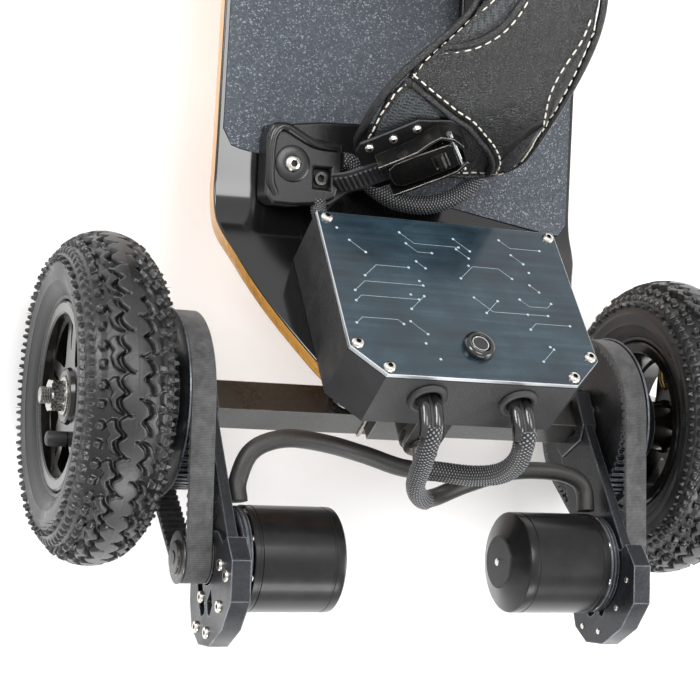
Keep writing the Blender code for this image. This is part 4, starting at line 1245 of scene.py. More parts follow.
def belt_stations():
    """(along, across, outward normal, groove share) round the belt's pulley face, with its teeth in the grooves."""
    lean = math.acos((WHEEL_RADIUS - MOTOR_RADIUS) / (MOTOR_CENTRES / MM))
    stations = []

    def arc_part(centre, radius, start, end, teeth):
        count = max(8, round(abs(end - start) * radius / 0.5))
        for i in range(count + 1):
            a = start + (end - start) * i / count
            stations.append((centre + radius * math.cos(a), radius * math.sin(a), (math.cos(a), math.sin(a)),
                             a / TURN * teeth))

    def straight(first, last, target):
        count = round(math.dist(first[:2], last[:2]) / 0.5)
        for i in range(1, count):
            t = i / count
            stations.append((first[0] + (last[0] - first[0]) * t, first[1] + (last[1] - first[1]) * t, first[2],
                             first[3] + (target - first[3]) * t))

    def aligned(first, last):
        """The tooth count along a straight, fitted so that the far pulley's grooves still line up."""
        plain_count = math.dist(first[:2], last[:2]) / 5.05
        offset = (last[3] - first[3]) % 1
        return first[3] + offset + round(plain_count - offset)

    arc_part(0, WHEEL_RADIUS, lean, TURN - lean, TEETH)
    leave = stations[-1]
    motor_start = (MOTOR_CENTRES / MM + MOTOR_RADIUS * math.cos(-lean), MOTOR_RADIUS * math.sin(-lean), leave[2],
                   -lean / TURN * MOTOR_TEETH)
    straight(leave, motor_start, aligned(leave, motor_start))
    arc_part(MOTOR_CENTRES / MM, MOTOR_RADIUS, -lean, lean, MOTOR_TEETH)
    leave = stations[-1]
    straight(leave, stations[0], aligned(leave, stations[0]))
    return stations


def belt_mesh(side):
    """The loop with a woven back, its teeth inward."""
    verts, faces, maps = [], [], []
    stations = belt_stations()
    run = 0.0
    runs = []
    for i, (a, b, normal, share) in enumerate(stations):
        if i:
            run += math.dist((a, b), stations[i - 1][:2])
        runs.append(run * MM)
        inner = 0.4 - 1.9 * tooth_dip(share)
        for lift, z in ((2.8, -BELT_HALF + 0.35), (2.8, BELT_HALF - 0.35), (2.45, BELT_HALF), (inner, BELT_HALF),
                        (inner, -BELT_HALF), (2.45, -BELT_HALF)):
            verts.append(((a + normal[0] * lift) * MM, -side * (b + normal[1] * lift) * MM, z * MM))
    total = run * MM
    n = len(stations)
    across = (-BELT_HALF + 0.35, BELT_HALF - 0.35, BELT_HALF, BELT_HALF + 2, BELT_HALF + 17, BELT_HALF + 19)
    for i in range(n):
        j = (i + 1) % n
        for k in range(6):
            m = (k + 1) % 6
            faces.append([i * 6 + k, j * 6 + k, j * 6 + m, i * 6 + m][::side])
            one, two = runs[i], runs[j] if j else total
            v0, v1 = across[k] * MM, (across[m] if m else across[k] + 0.5) * MM
            maps.append([(one, v0), (two, v0), (two, v1), (one, v1)][::side])
    return mesh("belt", verts, faces, 40, maps)


def make_drive(name, side):
    plane = drive_matrix(side)
    hanger, rotor, wheel = "rear_hanger", f"{name}_rotor", f"rear_{name}_wheel"
    motor = plane @ Matrix.Translation((MOTOR_CENTRES, 0, 0))

    # The clamp's square hole follows the bar, which leans with the deck's tip
    lean = MOTOR_ANGLE - TIP_ANGLE
    bar = [(0.0112, 0.0102), (-0.0112, 0.0102), (-0.0112, -0.0102), (0.0112, -0.0102)]
    bar = [(x, -side * y) for x, y in turned_outline(bar, lean)]
    arm = flat_shape("mount_arm", [in_plane(MOUNT_ARM, side), bar], 0.1272, 0.1342)
    put(f"mount_arm_{name}", arm, "anodised", hanger, plane, "mount_black", [f"motor_mount_{name}"], 0.7 * MM)
    block = flat_shape("mount_block", [in_plane(MOUNT_BLOCK, side), ring_points(0.016, 48, (MOTOR_CENTRES, 0)),
                                       in_plane(MOUNT_SLOT, side), in_plane(MOUNT_WINDOW, side)], 0.1251, 0.1369)
    put(f"mount_block_{name}", block, "anodised", hanger, plane, "mount_black", (), 1.0 * MM)
    clamp = flat_shape("mount_clamp", [in_plane([(-20, -15.4), (-20, 10.4), (-12.4, 19.4), (12.4, 19.4), (20, 12),
                                                 (20, -14), (12, -18)], side), bar], 0.1258, 0.1362)
    put(f"mount_clamp_{name}", clamp, "anodised", hanger, plane, "mount_black", (), 0.8 * MM)
    for i, (a, b) in enumerate(MOUNT_SCREWS):
        x, y = in_plane([(a, b)], side)[0]
        screw(f"mount_screw_{name}_{i}", MOUNT_SCREW, hanger, plane @ Vector((x, y, 0.1358)), (side, 0, 0), i * 0.4,
              "kingpin_steel")
        put(f"mount_screw_end_{name}_{i}", SCREW_END, "screw", hanger,
            facing((-side, 0, 0), plane @ Vector((x, y, 0.1253))), "kingpin_steel")
    for i, (a, b) in enumerate(((-15, 2), (0, 16))):
        x, y = in_plane([(a, b)], side)[0]
        screw(f"clamp_screw_{name}_{i}", SMALL_SCREW, hanger, plane @ Vector((x, y, 0.1360)), (side, 0, 0), i * 0.4,
              "kingpin_steel")

    base = [(4.8, 118.5), (4.8, 124.6), (29.6, 124.6), (30.5, 124.0), (30.5, 121.6), (30.9, 121.2), (30.9, 119.2),
            (30.2, 118.5)]
    put(f"motor_foot_{name}", lathe_mesh("motor_foot", base, 96, True, 30), "anodised", hanger, motor, "mount_black",
        [f"motor_base_{name}"])
    for i in range(8):
        a = TURN * i / 8
        screw(f"motor_foot_screw_{name}_{i}", TINY_SCREW, hanger, motor @ Vector((0.0286 * math.cos(a),
              0.0286 * math.sin(a), 0.1186)), (-side, 0, 0), 0, "kingpin_steel")
    can = [(0, 55.2), (2.2, 55.2), (2.4, 54.6), (5.0, 54.6), (5.6, 55.6), (14.8, 55.6), (15.9, 54.8), (16.6, 54.9),
           (17.2, 55.6), (29.6, 60.4), (31.2, 61.6), (31.5, 62.6), (31.5, 66.6), (31.1, 67.0), (31.1, 67.8),
           (31.5, 68.2), (31.5, 112.2), (31.1, 112.6), (31.1, 113.8), (31.5, 114.2), (31.5, 117.2), (31.1, 117.7),
           (4, 117.7), (4, 157.4), (3.4, 157.8), (0, 157.8)]
    put(f"motor_can_{name}", lathe_mesh("motor_can", can, 128, sharp=30), "can", rotor, motor, "motor_black",
        [f"motor_rotor_{name}"])
    disc = lathe_mesh("motor_disc", [(0, 54.4), (15.6, 54.5), (15.8, 54.9), (15.8, 55.7)], 64, sharp=30)
    put(f"motor_disc_{name}", disc, "can_end", rotor, motor, "motor_black")
    pin = lathe_mesh("motor_pin", [(0, 53.2), (1.9, 53.2), (2.3, 53.6), (2.3, 55)], 32, sharp=30)
    put(f"motor_pin_{name}", pin, "silver", rotor, motor, "motor_black")

    small = gear_mesh("motor_gear", MOTOR_TEETH, MOTOR_RADIUS, 2.1, 137.9, 154.1, 4.2)
    put(f"motor_gear_{name}", small, "dark_steel", rotor, motor, "pulley_steel", [f"motor_pulley_{name}"])
    flange = [(4.2, 154.0), (15.0, 154.0), (15.4, 154.5), (15.4, 155.1), (15.0, 155.4), (10.4, 155.5), (9.8, 156.0),
              (9.8, 157.0), (9.2, 157.4), (4.2, 157.4)]
    put(f"motor_flange_{name}", lathe_mesh("motor_flange", flange, 64, True, 30), "dark_steel", rotor, motor,
        "pulley_steel")
    inner = [(4.2, 136.8), (15.0, 136.8), (15.3, 137.2), (15.3, 137.8), (14.9, 138.1), (4.2, 138.1)]
    put(f"motor_inner_flange_{name}", lathe_mesh("motor_inner", inner, 64, True, 30), "dark_steel", rotor, motor,
        "pulley_steel")

    wheel_gear = gear_mesh("wheel_gear", TEETH, WHEEL_RADIUS, 2.2, 138.2, 154.0, 47.5)
    put(f"wheel_gear_{name}", wheel_gear, "anodised", wheel, plane, "pulley_black", [f"wheel_pulley_{name}"])
    outer = [(6.2, 138.3), (48.4, 138.3), (48.4, 140.0), (20, 141.2), (20, 148), (48.4, 149), (50.2, 154.0),
             (57.2, 154.0), (57.6, 154.4), (57.6, 155.0), (57.2, 155.3), (48, 155.3), (44, 153.6), (32, 153.6),
             (29.6, 155.4), (28.8, 156.4), (28.8, 177.4), (28.2, 178.0), (6.2, 178.0)]
    put(f"wheel_hub_{name}", lathe_mesh("wheel_hub", outer, 96, True, 30), "anodised", wheel, plane, "pulley_black")
    put(f"belt_{name}", belt_mesh(side), "belt", hanger, plane @ Matrix.Translation((0, 0, BELT_X)), "belt_rubber",
        [f"drive_belt_{name}"])



SCREW_END = lathe_mesh("screw_end", [(0, 0.9), (1.5, 0.9), (1.9, 0.5), (1.9, 0)], 20, sharp=30)
for drive_name, drive_side in SIDES:
    make_drive(drive_name, drive_side)


# ---------------------------------------------------------------- trucks

AXLE_ALONG = 0.1035
AXLE_HEIGHT = -0.06815
SPRING_TOP, SPRING_FOOT = -0.0173, -0.0581


def spring_mesh(x):
    """A closed-end coil between the base and the bar, in a tip frame."""
    wire, radius, turns = 1.55 * MM, 9.4 * MM, 6.2
    low, high = SPRING_FOOT + wire, SPRING_TOP - wire
    path, count = [], 230
    for i in range(count + 1):
        share = i / count
        ends = min(share, 1 - share) * turns
        flat = 0.55 * max(0.0, 1 - ends / 1.0)
        level = share + (flat * share if share < 0.5 else -flat * (1 - share)) * -0.8
        a = TURN * turns * share
        path.append(Vector((x + radius * math.cos(a), -AXLE_ALONG + radius * math.sin(a), low + (high - low) * level)))
    return tube_mesh("spring", path, wire, 12, Vector((1, 0, 0)))


def make_truck(place, tip):
    """Springs, nut, seats, weld beads and deck bolts round one truck, whose tip frame is given."""
    hanger = f"{place}_hanger"
    keep(f"{place}_truck_base", "truck", 0.9 * MM)
    keep(hanger, "truck", 1.1 * MM, 3)
    keep(f"{place}_kingpin", "steel", 0.5 * MM)
    pin = tip @ Matrix.Translation((0, -AXLE_ALONG, -0.045)) @ Matrix.Rotation(math.pi / 2, 4, "X")
    nut = hex_mesh("kingpin_nut", 15, 42.6, 50.2, 5.1)
    put(f"{place}_kingpin_nut", nut, "steel", "deck", pin, "kingpin_steel")
    cup = lathe_mesh("pivot_cup", [(5.4, 33.6), (12.6, 33.6), (13.4, 34.4), (13.4, 36.6), (12.6, 37.4), (5.4, 37.4)],
                     40, True, 30)
    for i, turn in enumerate((0, math.pi)):
        put(f"{place}_pivot_cup_{i}", cup, "rubber", hanger, pin @ Matrix.Rotation(turn, 4, "X"), "truck_black")
    for name, side in SIDES:
        data = spring_mesh(side * 0.038)
        data.transform(tip)
        obj = put(f"{place}_coil_{name}", data, "spring", None, slot="spring_steel",
                  replaces=[f"{place}_spring_{name}"])
        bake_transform(obj)
        for label, height, body in (("top", SPRING_TOP, "deck"), ("foot", SPRING_FOOT, hanger)):
            lift = -1 if label == "top" else 1
            seat = lathe_mesh("spring_seat", [(0, 0), (7.0, 0), (7.2, 3.4), (6.4, 4.2), (0, 4.2)], 32, sharp=30)
            put(f"{place}_spring_{label}_{name}", seat, "truck", body,
                tip @ Matrix.Translation((side * 0.038, -AXLE_ALONG, height)) @ Matrix.Scale(lift, 4, (0, 0, 1)),
                "truck_black")
        # Weld beads round the bar where its foot and its axle stub join it
        for k, x in enumerate((0.0238, 0.1365)):
            half = (0.0113, 0.0103) if k == 0 else None
            if half:
                corners = [(half[0], half[1]), (-half[0], half[1]), (-half[0], -half[1]), (half[0], -half[1])]
                loop = finely(corners, 0.0022)
            else:
                loop = ring_points(0.0056, 16)
            path = [Vector((side * (x + 0.0005 * (i % 2)), -AXLE_ALONG + a, AXLE_HEIGHT + b))
                    for i, (a, b) in enumerate(loop + loop[:1])]
            bead = tube_mesh("bead", path, lambda run, share: 0.0011 + 0.0003 * math.sin(run * 2600), 10,
                             Vector((1, 0, 0)))
            put(f"{place}_bead_{name}_{k}", bead, "weld" if k == 0 else "truck", hanger, tip, "truck_black")
    for i, (x, along) in enumerate(((-20, 78), (20, 78), (-20, 128), (20, 128))):
        if place == "front":
            screw(f"deck_bolt_{i}", BOLT, "deck", tip @ Vector((x * MM, -along * MM, 0)),
                  tip.to_3x3() @ Vector((0, 0, 1)), i * 0.5, "kingpin_steel")
        screw(f"{place}_base_bolt_{i}", BOLT, "deck", tip @ Vector((x * MM, -along * MM, -0.0172)),
              tip.to_3x3() @ Vector((0, 0, -1)), i * 0.5, "kingpin_steel")


make_truck("rear", REAR_TIP)
make_truck("front", FRONT_TIP)


# ---------------------------------------------------------------- bindings

# The front binding mirrors the rear one across the board's middle, so it is laid out in an unturned frame
BINDINGS = (("rear", REAR_END, 1), ("front", Matrix.Translation((0, 0.3508, 0.09)), -1))
FLIP = Matrix.Scale(-1, 4, (0, 1, 0))
STRAP_Y, STRAP_HALF = 137, 100

# The pad's cloth simulation: remesh size, pressure, last frame, and how far a point may move
PAD_VOXEL = 0.0036
PAD_PRESSURE = 4
PAD_FRAMES = 14
PAD_MOVE_LIMIT = 0.0028


def strap_shape(t):
    """Middle and half width of the strap, in millimetres, at a share t of the way over the foot."""
    crest = max(0.0, 1 - t * t) ** 4
    end = min(1.0, max(0.0, abs(t) - 0.90) / 0.172)
    return 10 + 30 * crest, (59 - 22 * crest) * math.sqrt(max(0.004, 1 - end ** 2.3))


def strap_point(t, q):
    """The pad's middle surface, in metres, in a binding's frame."""
    middle, half = strap_shape(t)
    rise = max(0.0, 1 - min(1.0, abs(t)) ** 2.2)
    fall = 55 * max(0.0, abs(t) - 1)
    return Vector((middle + half * q, STRAP_Y + STRAP_HALF * t, 28 + (80 + 10 * q) * rise - fall)) * MM


def strap_normal(t, q):
    along = strap_point(t + 0.004, q) - strap_point(t - 0.004, q)
    across = strap_point(t, q + 0.01) - strap_point(t, q - 0.01)
    return across.cross(along).normalized()


def both(name, data, look, slot, replaces=None, at=None, bevel=0.0, segments=2, body=None):
    """The rear piece and its mirrored front twin. The data is in the binding's frame unless at says otherwise."""
    made = []
    for place, base, hand in BINDINGS:
        copy = data if hand > 0 else data.copy()
        local = at or Matrix.Identity(4)
        if hand < 0:
            copy.transform(FLIP @ local)
            copy.flip_normals()
            local = Matrix.Identity(4)
        obj = put(f"{place}_{name}", copy, look, body.format(place) if body else "deck", base @ local, slot,
                  [r.format(place) for r in replaces or ()], bevel, segments=segments)
        made.append(obj)
    return made


def pad_mesh():
    """The padded strap: a thin crowned shell, puffed by a short cloth simulation with pressure inside."""
    rows, columns = 66, 18
    verts, faces = [], []
    for side in (1, -1):
        for r in range(rows + 1):
            t = (2 * r / rows - 1) * 1.07
            for c in range(columns + 1):
                q = 2 * c / columns - 1
                thick = 3.9 * MM * math.sqrt(max(0.0, 1 - abs(q) ** 5)) * math.sqrt(max(0.0, 1 - abs(t / 1.07) ** 16))
                verts.append(strap_point(t, q) + strap_normal(t, q) * side * thick)
    n = columns + 1
    far = (rows + 1) * n
    for r in range(rows):
        for c in range(columns):
            a, b = r * n + c, r * n + c + 1
            faces += [[a, b, b + n, a + n], [far + a, far + a + n, far + b + n, far + b]]
    made = mesh("strap_pad", verts, faces, 180)
    bm = bmesh.new()
    bm.from_mesh(made)
    bmesh.ops.remove_doubles(bm, verts=bm.verts, dist=0.0002)
    bmesh.ops.recalc_face_normals(bm, faces=bm.faces)
    bm.to_mesh(made)
    bm.free()
    obj = bpy.data.objects.new("pad_work", made)
    bpy.context.scene.collection.objects.link(obj)
    remesh = obj.modifiers.new("remesh", "REMESH")
    remesh.mode = "VOXEL"
    remesh.voxel_size = PAD_VOXEL
    smooth = obj.modifiers.new("smooth", "SMOOTH")
    smooth.factor, smooth.iterations = 0.5, 3
    data = settled(obj)
    obj.modifiers.clear()
    obj.data = data
    before = [v.co.copy() for v in data.vertices]
    cloth = obj.modifiers.new("cloth", "CLOTH")
    cloth.settings.use_pressure = True
    cloth.settings.uniform_pressure_force = PAD_PRESSURE
    cloth.settings.quality = 5
    cloth.settings.effector_weights.gravity = 0
    cloth.point_cache.frame_start, cloth.point_cache.frame_end = 1, PAD_FRAMES
    for moment in range(1, PAD_FRAMES + 1):
        bpy.context.scene.frame_set(moment)
    puffed = settled(obj)
    obj.modifiers.clear()
    for vert, old, new in zip(data.vertices, before, puffed.vertices):
        move = new.co - old
        vert.co = old + move * min(1.0, PAD_MOVE_LIMIT / max(1e-9, move.length))
    bpy.data.meshes.remove(puffed)
    bpy.context.scene.frame_set(1)
    bpy.data.objects.remove(obj)
    data.shade_smooth()
    return data


def settled(obj):
    graph = bpy.context.evaluated_depsgraph_get()
    graph.update()
    return bpy.data.meshes.new_from_object(obj.evaluated_get(graph))


class Pad:
    """The strap pad's outer face, for pieces sewn onto it. Places on it are (x, y) of the binding's frame, in
    millimetres."""

    def __init__(self, data):
        self.tree = BVHTree.FromPolygons([v.co for v in data.vertices], [p.vertices for p in data.polygons])

    def at(self, x, y, lift):
        t = max(-1.0, min(1.0, (y - STRAP_Y) / STRAP_HALF))
        middle, half = strap_shape(t)
        q = max(-0.9, min(0.9, (x - middle) / half))
        point, normal = strap_point(t, q), strap_normal(t, q)
        hit = self.tree.ray_cast(point + normal * 0.03, -normal)[0]
        return (hit or point + normal * 0.004) + normal * lift * MM

    def line(self, places, lift, step=0.0012):
        flat = resample(smooth_path([(x, y, 0) for x, y in places], 8), 0.002)[0]
        return resample([self.at(p.x / MM, p.y / MM, lift) for p in flat], step)[0]

    def stitches(self, name, places, lift, dash=0.0043, gap=0.0022, radius=0.00062):
        def thickness(run, share):
            if run >= dash * 0.82:
                return radius * 0.7
            return radius * math.sin(math.pi * min(1, max(0.18, run / dash))) ** 0.4

        path = self.line(places, lift, 0.0005)
        verts, faces = [], []
        count, skip = round(dash / 0.0005), round(gap / 0.0005)
        for start in range(0, len(path) - count, count + skip):
            part = path[start:start + count + 1:2]
            bits, sides, _ = sweep(part, thickness, 7)
            low = len(verts)
            verts += bits
            faces += [[low + v for v in face] for face in sides]
        return mesh(name, verts, faces, 60)

    def roll(self, name, places, radius, lift):
        return tube_mesh(name, self.line(places, lift), radius * MM, 14)

    def patch(self, name, first, last, rows, lift_first, lift_last, columns=40):
        """A skin from one line of places to another, with its edges turned down onto the pad."""
        def even(places):
            path = smooth_path([(x, y, 0) for x, y in places], 8)
            total = resample(path, 1)[1]
            return resample(path, total / columns * 1.0)[0][:columns + 1]

        one, two = even(first), even(last)
        columns = min(len(one), len(two)) - 1
        verts, faces = [], []
        for r in range(rows + 1):
            share = r / rows
            for c in range(columns + 1):
                p = one[c].lerp(two[c], share)
                edge = min(r, rows - r, c, columns - c)
                lift = lift_first + (lift_last - lift_first) * share
                lift = -0.8 if edge == 0 else lift * (0.72 if edge == 1 else 1)
                verts.append(self.at(p.x / MM, p.y / MM, lift))
        n = columns + 1
        for r in range(rows):
            for c in range(columns):
                a = r * n + c
                faces.append([a, a + 1, a + n + 1, a + n])
        made = mesh(name, verts, faces, 60)
        sample = made.polygons[len(made.polygons) // 2]
        if sample.normal.z < 0:
            made.flip_normals()
        return made


WELT = [(-33.5, 78.5), (-26, 75.5), (-17.6, 72), (-0.3, 65.2), (12.7, 61.1), (23.7, 55.8), (35.4, 49.9), (44.3, 43.5),
        (47.5, 36.5)]
WELT_FAR = [(10, 152), (30, 158), (55, 158), (70, 146), (73, 125), (72.5, 100), (71.5, 75), (68, 52), (62, 37.5)]
BAND_IN = [(69.5, 120), (66, 108), (61.1, 97.9), (57.5, 88), (57.0, 79), (60.0, 70), (64.0, 62.3), (65.8, 53),
           (66.0, 45)]
BAND_OUT = [(76.2, 118), (75.6, 108), (74.8, 99), (73.8, 88), (72.8, 78), (71.8, 68), (70.6, 60), (69.6, 52),
            (68.2, 45)]
LEFT_LINE = [(-44.5, 44), (-44.4, 56), (-42, 63), (-38.5, 70), (-32, 78), (-25.4, 89), (-17.6, 101), (-6, 111),
             (8, 124), (17, 137)]
MESH_EDGE = [(24, 38), (16, 48), (4, 57), (-10, 66), (-27, 75)]
LOWER_LINE = [(67.2, 44), (64.5, 38), (58.5, 34.4), (50, 32.6), (40, 31.8), (28, 31.5), (15, 31.6), (5, 32)]
WINDOW_LOW = [(-17.5, 99.5), (-8, 101.5), (2, 105), (12, 111.5), (19, 119.5), (24.5, 129), (27, 138)]
WINDOW_HIGH = [(-14.5, 103.5), (-7.5, 109), (-1, 115), (5.5, 121), (11.5, 127.5), (16.5, 134), (20, 139)]
SLIT_LOW = [(46.2, 45.5), (47.6, 50), (50.2, 54.5), (54, 59.6), (58.4, 63.6), (61.2, 66.6)]
SLIT_HIGH = [(45.2, 46.5), (44.6, 52), (46, 58), (49.6, 64.2), (54.6, 68.6), (60.6, 68.4)]


def shifted(places, by):
    """The line moved sideways by that many millimetres, to the left of its run when positive."""
    made = []
    for i, p in enumerate(places):
        a, b = Vector(places[max(0, i - 1)]), Vector(places[min(len(places) - 1, i + 1)])
        run = (b - a).normalized()
        made.append(tuple(Vector(p) + Vector((-run.y, run.x)) * by))
    return made


def far_side(places):
    return [(x, 2 * STRAP_Y - y) for x, y in places]


def make_strap():
    """The padded strap with its panels, rolled edges, mesh and stitching, on both bindings."""
    data = pad_mesh()
    pad = Pad(data)
    pads = both("strap_pad", data, "leather", "strap_leather", ["{}_binding_strap"])
    for obj in pads:
        step = obj.modifiers.new("smooth", "SUBSURF")
        step.levels = step.render_levels = 1
    rim = [strap_point((2 * i / 80 - 1) * 1.055, 0.985) for i in range(81)]
    rim += [strap_point((1 - 2 * i / 80) * 1.055, -0.985) for i in range(81)]
    rim = resample(rim + rim[:2], 0.003)[0]
    both("strap_edge", tube_mesh("strap_edge", rim, 2.5 * MM, 14), "leather", "strap_leather")
    mirror = (("", lambda places: places), ("_far", far_side))
    for suffix, side in mirror:
        sewn = [("panel", pad.patch("panel", side(WELT), side(WELT_FAR), 34, 2.7, 0.7, 60), "leather"),
                ("mesh_panel", pad.patch("mesh_panel", side(shifted(LEFT_LINE[:5], -2.5)),
                                         side(MESH_EDGE), 22, 0.7, 0.7, 30), "mesh"),
                ("welt", pad.roll("welt", side(WELT), 2.3, 1.2), "leather"),
                ("band", pad.patch("band", side(BAND_IN), side(BAND_OUT), 8, 1.9, 1.5, 44), "leather"),
                ("window", pad.patch("window", side(WINDOW_LOW), side(WINDOW_HIGH), 8, 1.9, 1.9, 30), "mesh"),
                ("window_roll", pad.roll("window_roll", side(shifted(WINDOW_LOW, -2.4)), 2.2, 1.8), "leather"),
                ("slit", pad.patch("slit", side(SLIT_LOW), side(SLIT_HIGH), 6, 2.2, 2.2, 20), "recess"),
                ("slit_lip", pad.roll("slit_lip", side(shifted(SLIT_LOW, -0.6)), 1.0, 2.0), "leather")]
        for name, part, look in sewn:
            both(f"strap_{name}{suffix}", part, look, "strap_leather")
        lines = [("left", LEFT_LINE, 1.1), ("lower", LOWER_LINE, 0.4), ("welt", shifted(WELT, 3.8), 2.75),
                 ("band_in", shifted(BAND_IN, -1.3), 2.0), ("band_out", shifted(BAND_OUT, 1.6), 1.9),
                 ("window", shifted(WINDOW_LOW, -5.4), 1.7)]
        for name, places, lift in lines:
            both(f"stitch_{name}{suffix}", pad.stitches(name, side(places), lift), "thread", "strap_leather")


SEAT = Matrix.Translation((-0.009, 0.040, 0.047)) @ Matrix.Rotation(math.radians(52), 4, "X") \
    @ Matrix.Rotation(math.radians(38), 4, "Z")


def make_ratchet():
    """The ratchet in its seat frame: plate, cheeks, pin, sprocket, release lever and ladder strap."""
    plate = [(-36, -13), (-36, 22), (-31, 28), (8, 29.5), (15, 25), (26, 19), (30.5, 11), (30.5, -9), (24, -15.5),
             (-31, -16)]
    flat = flat_shape("ratchet_plate", [[(x * MM, y * MM) for x, y in plate]], 0.0006, 0.0029)
    both("ratchet_plate", flat, "plastic", "ratchet_black", ["{}_ratchet_buckle"], SEAT, 0.7 * MM)
    for i, (x, y) in enumerate(((-27, 22.2), (-11.2, 22.2), (4.6, 23.2))):
        both(f"ratchet_screw_{i}", SMALL_GOLD, None, "ratchet_black",
             at=SEAT @ Matrix.Translation((x * MM, y * MM, 0.0028)))
    for name, path in (("upper", [(-26, 14.5), (-12, 14.8), (0, 15.6), (10, 19.5), (17, 20.5), (24, 14.5), (28, 5)]),
                       ("lower", [(-25, -14.2), (-10, -14.2), (8, -14.4), (18, -13.6), (26, -9)])):
        walls = flat_shape("cheek", [[(x * MM, y * MM) for x, y in path]
                                     + [(x * MM, y * MM) for x, y in reversed(shifted(path, -2.2))]], 0.0028, 0.0142)
        both(f"ratchet_cheek_{name}", walls, "cheek", "ratchet_black", at=SEAT, bevel=0.45 * MM)
    pin = tube_mesh("hinge_pin", [Vector((0.022, -0.0166, 0.0115)), Vector((0.022, 0.0, 0.0115)),
                                  Vector((0.022, 0.0188, 0.0115))], 1.9 * MM, 20)
    both("ratchet_pin", pin, "silver", "ratchet_black", at=SEAT)
    teeth = gear_mesh("sprocket", 12, 6.4, 1.5, -6, 6, 2)
    both("ratchet_sprocket", teeth, "dark_steel", "ratchet_black",
         at=SEAT @ Matrix.Translation((0.011, 0, 0.0095)) @ Matrix.Rotation(math.pi / 2, 4, "X"))
    lever = [(1.5, -7), (1.5, 7), (-3, 10.6), (-24, 11.4), (-38, 10.8), (-43, 7.5), (-44, 0), (-43, -7.5), (-38, -10.8),
             (-24, -11.4), (-3, -10.6)]
    hinge = SEAT @ Matrix.Translation((0.022, 0, 0.0115))
    both("lever_plate", flat_shape("lever_plate", [[(x * MM, y * MM) for x, y in lever]], -0.0013, 0.0015),
         "cheek", "ratchet_black", ["{}_ratchet_lever"], hinge, 0.6 * MM, body="{}_lever")
    # A ridged strap runs from under the lever down into its block
    path = smooth_path([(10, 0, 4.4), (-10, 0, 4.4), (-32, 0, 4.3), (-46, 0, 3.4), (-56, 0, 0.5)], 10)
    path, _ = resample([SEAT @ p for p in path], 0.0008)
    across = (SEAT.to_3x3() @ Vector((0, 1, 0))).normalized()
    verts, faces = [], []
    for i, p in enumerate(path):
        run = (path[min(i + 1, len(path) - 1)] - path[max(i - 1, 0)]).normalized()
        up = run.cross(across).normalized() * -1
        if up.z < 0:
            up = -up
        ridge = 1.1 * MM if i % 4 < 2 else 0.0
        for side, lift in ((-8.8, -1.1), (-8.8, 0.6), (-6.4, 0.8), (-6.2, None), (6.2, None), (6.4, 0.8), (8.8, 0.6),
                           (8.8, -1.1)):
            height = 0.8 * MM + ridge if lift is None else lift * MM
            verts.append(p + across * side * MM + up * height)
    for i in range(len(path) - 1):
        faces += [[i * 8 + k, i * 8 + (k + 1) % 8, (i + 1) * 8 + (k + 1) % 8, (i + 1) * 8 + k] for k in range(8)]
    faces += [list(range(8))[::-1], list(range(len(verts) - 8, len(verts)))]
    data = mesh("ladder", verts, faces, 30)
    both("ladder", data, "ladder", "ladder_plastic", ["{}_ladder_strap"])


def make_base():
    """The binding's rail and its two blocks, each with a raised lip, a bolt and a nut in a recess."""
    near = [(-98, 10), (-92, 4.5), (-52, 4.5), (-40, 14), (-14, 22), (2, 34), (48, 42)]
    inner = [(34, 96), (26, 70), (-30, 60), (-60, 58), (-98, 52)]
    rail = [(x * MM, y * MM) for x, y in near]
    far = [(x * MM, (2 * STRAP_Y - y) * MM) for x, y in reversed(near)]
    inside = [(x * MM, (2 * STRAP_Y - y) * MM) for x, y in reversed(inner)] + [(x * MM, y * MM) for x, y in inner]
    both("base_rail", flat_shape("base_rail", [rail + far + inside], 0.0017, 0.0085), "plastic", "binding_plastic",
         ["{}_binding_base"], bevel=1.8 * MM, segments=4)
    block = [(-99, 6), (-99.5, 44), (-96.5, 52), (-90, 54), (-82, 51), (-68, 45.5), (-49, 44), (-48, 22), (-52, 9),
             (-60, 4.5), (-80, 2), (-94, 2)]
    recess = [(-67, 15), (-56, 15), (-56, 27), (-67, 27)]
    for name, side in (("near", lambda places: places), ("far", far_side)):
        shape = [(x * MM, y * MM) for x, y in side(block)]
        hole = [(x * MM, y * MM) for x, y in side(recess)]
        both(f"block_{name}", flat_shape("block", [shape, hole], 0.0017, 0.0186), "plastic", "binding_plastic",
             bevel=2.6 * MM, segments=5)
        crest = side([(-92, 8), (-96.2, 18), (-96.4, 40), (-93, 48.5), (-87, 50), (-79, 46.5), (-67, 41.5),
                      (-53, 40.5)])
        lip = smooth_path([(*p, z) for p, z in zip(crest, (17, 18.4, 19.4, 19.8, 19.8, 19.6, 19.0, 17.6))], 8)
        both(f"block_lip_{name}", tube_mesh("lip", lip, lambda run, share: (2.9 * MM, 0.8), 16), "plastic",
             "binding_plastic")
        x, y = side([(-82, 28)])[0]
        boss = lathe_mesh("boss", [(5.4, 18.0), (5.6, 19.6), (9.6, 19.8), (11.2, 19.2), (12.2, 17.8)], 40, sharp=30)
        both(f"block_boss_{name}", boss, "plastic", "binding_plastic", at=Matrix.Translation((x * MM, y * MM, 0)))
        both(f"block_bolt_{name}", BOLT, None, "binding_plastic", at=Matrix.Translation((x * MM, y * MM, 0.0186)))
        x, y = side([(-61.5, 21)])[0]
        both(f"block_floor_{name}", box_mesh("floor", (0.0118, 0.0128, 0.003), (0, 0, 0)), "recess", "binding_plastic",
             at=Matrix.Translation((x * MM, y * MM, 0.012)))
        both(f"block_nut_{name}", hex_mesh("nut", 8, 0, 3, 2), "dark_steel", "binding_plastic",
             at=Matrix.Translation((x * MM, y * MM, 0.0134)))


SMALL_GOLD = screw_mesh("ratchet_screw", 3.0 * MM, 1.9 * MM, 1.2 * MM, 1.1 * MM)
make_strap()
make_ratchet()
make_base()


# ---------------------------------------------------------------- battery

BATTERY_Y = DECK_FAR / 2


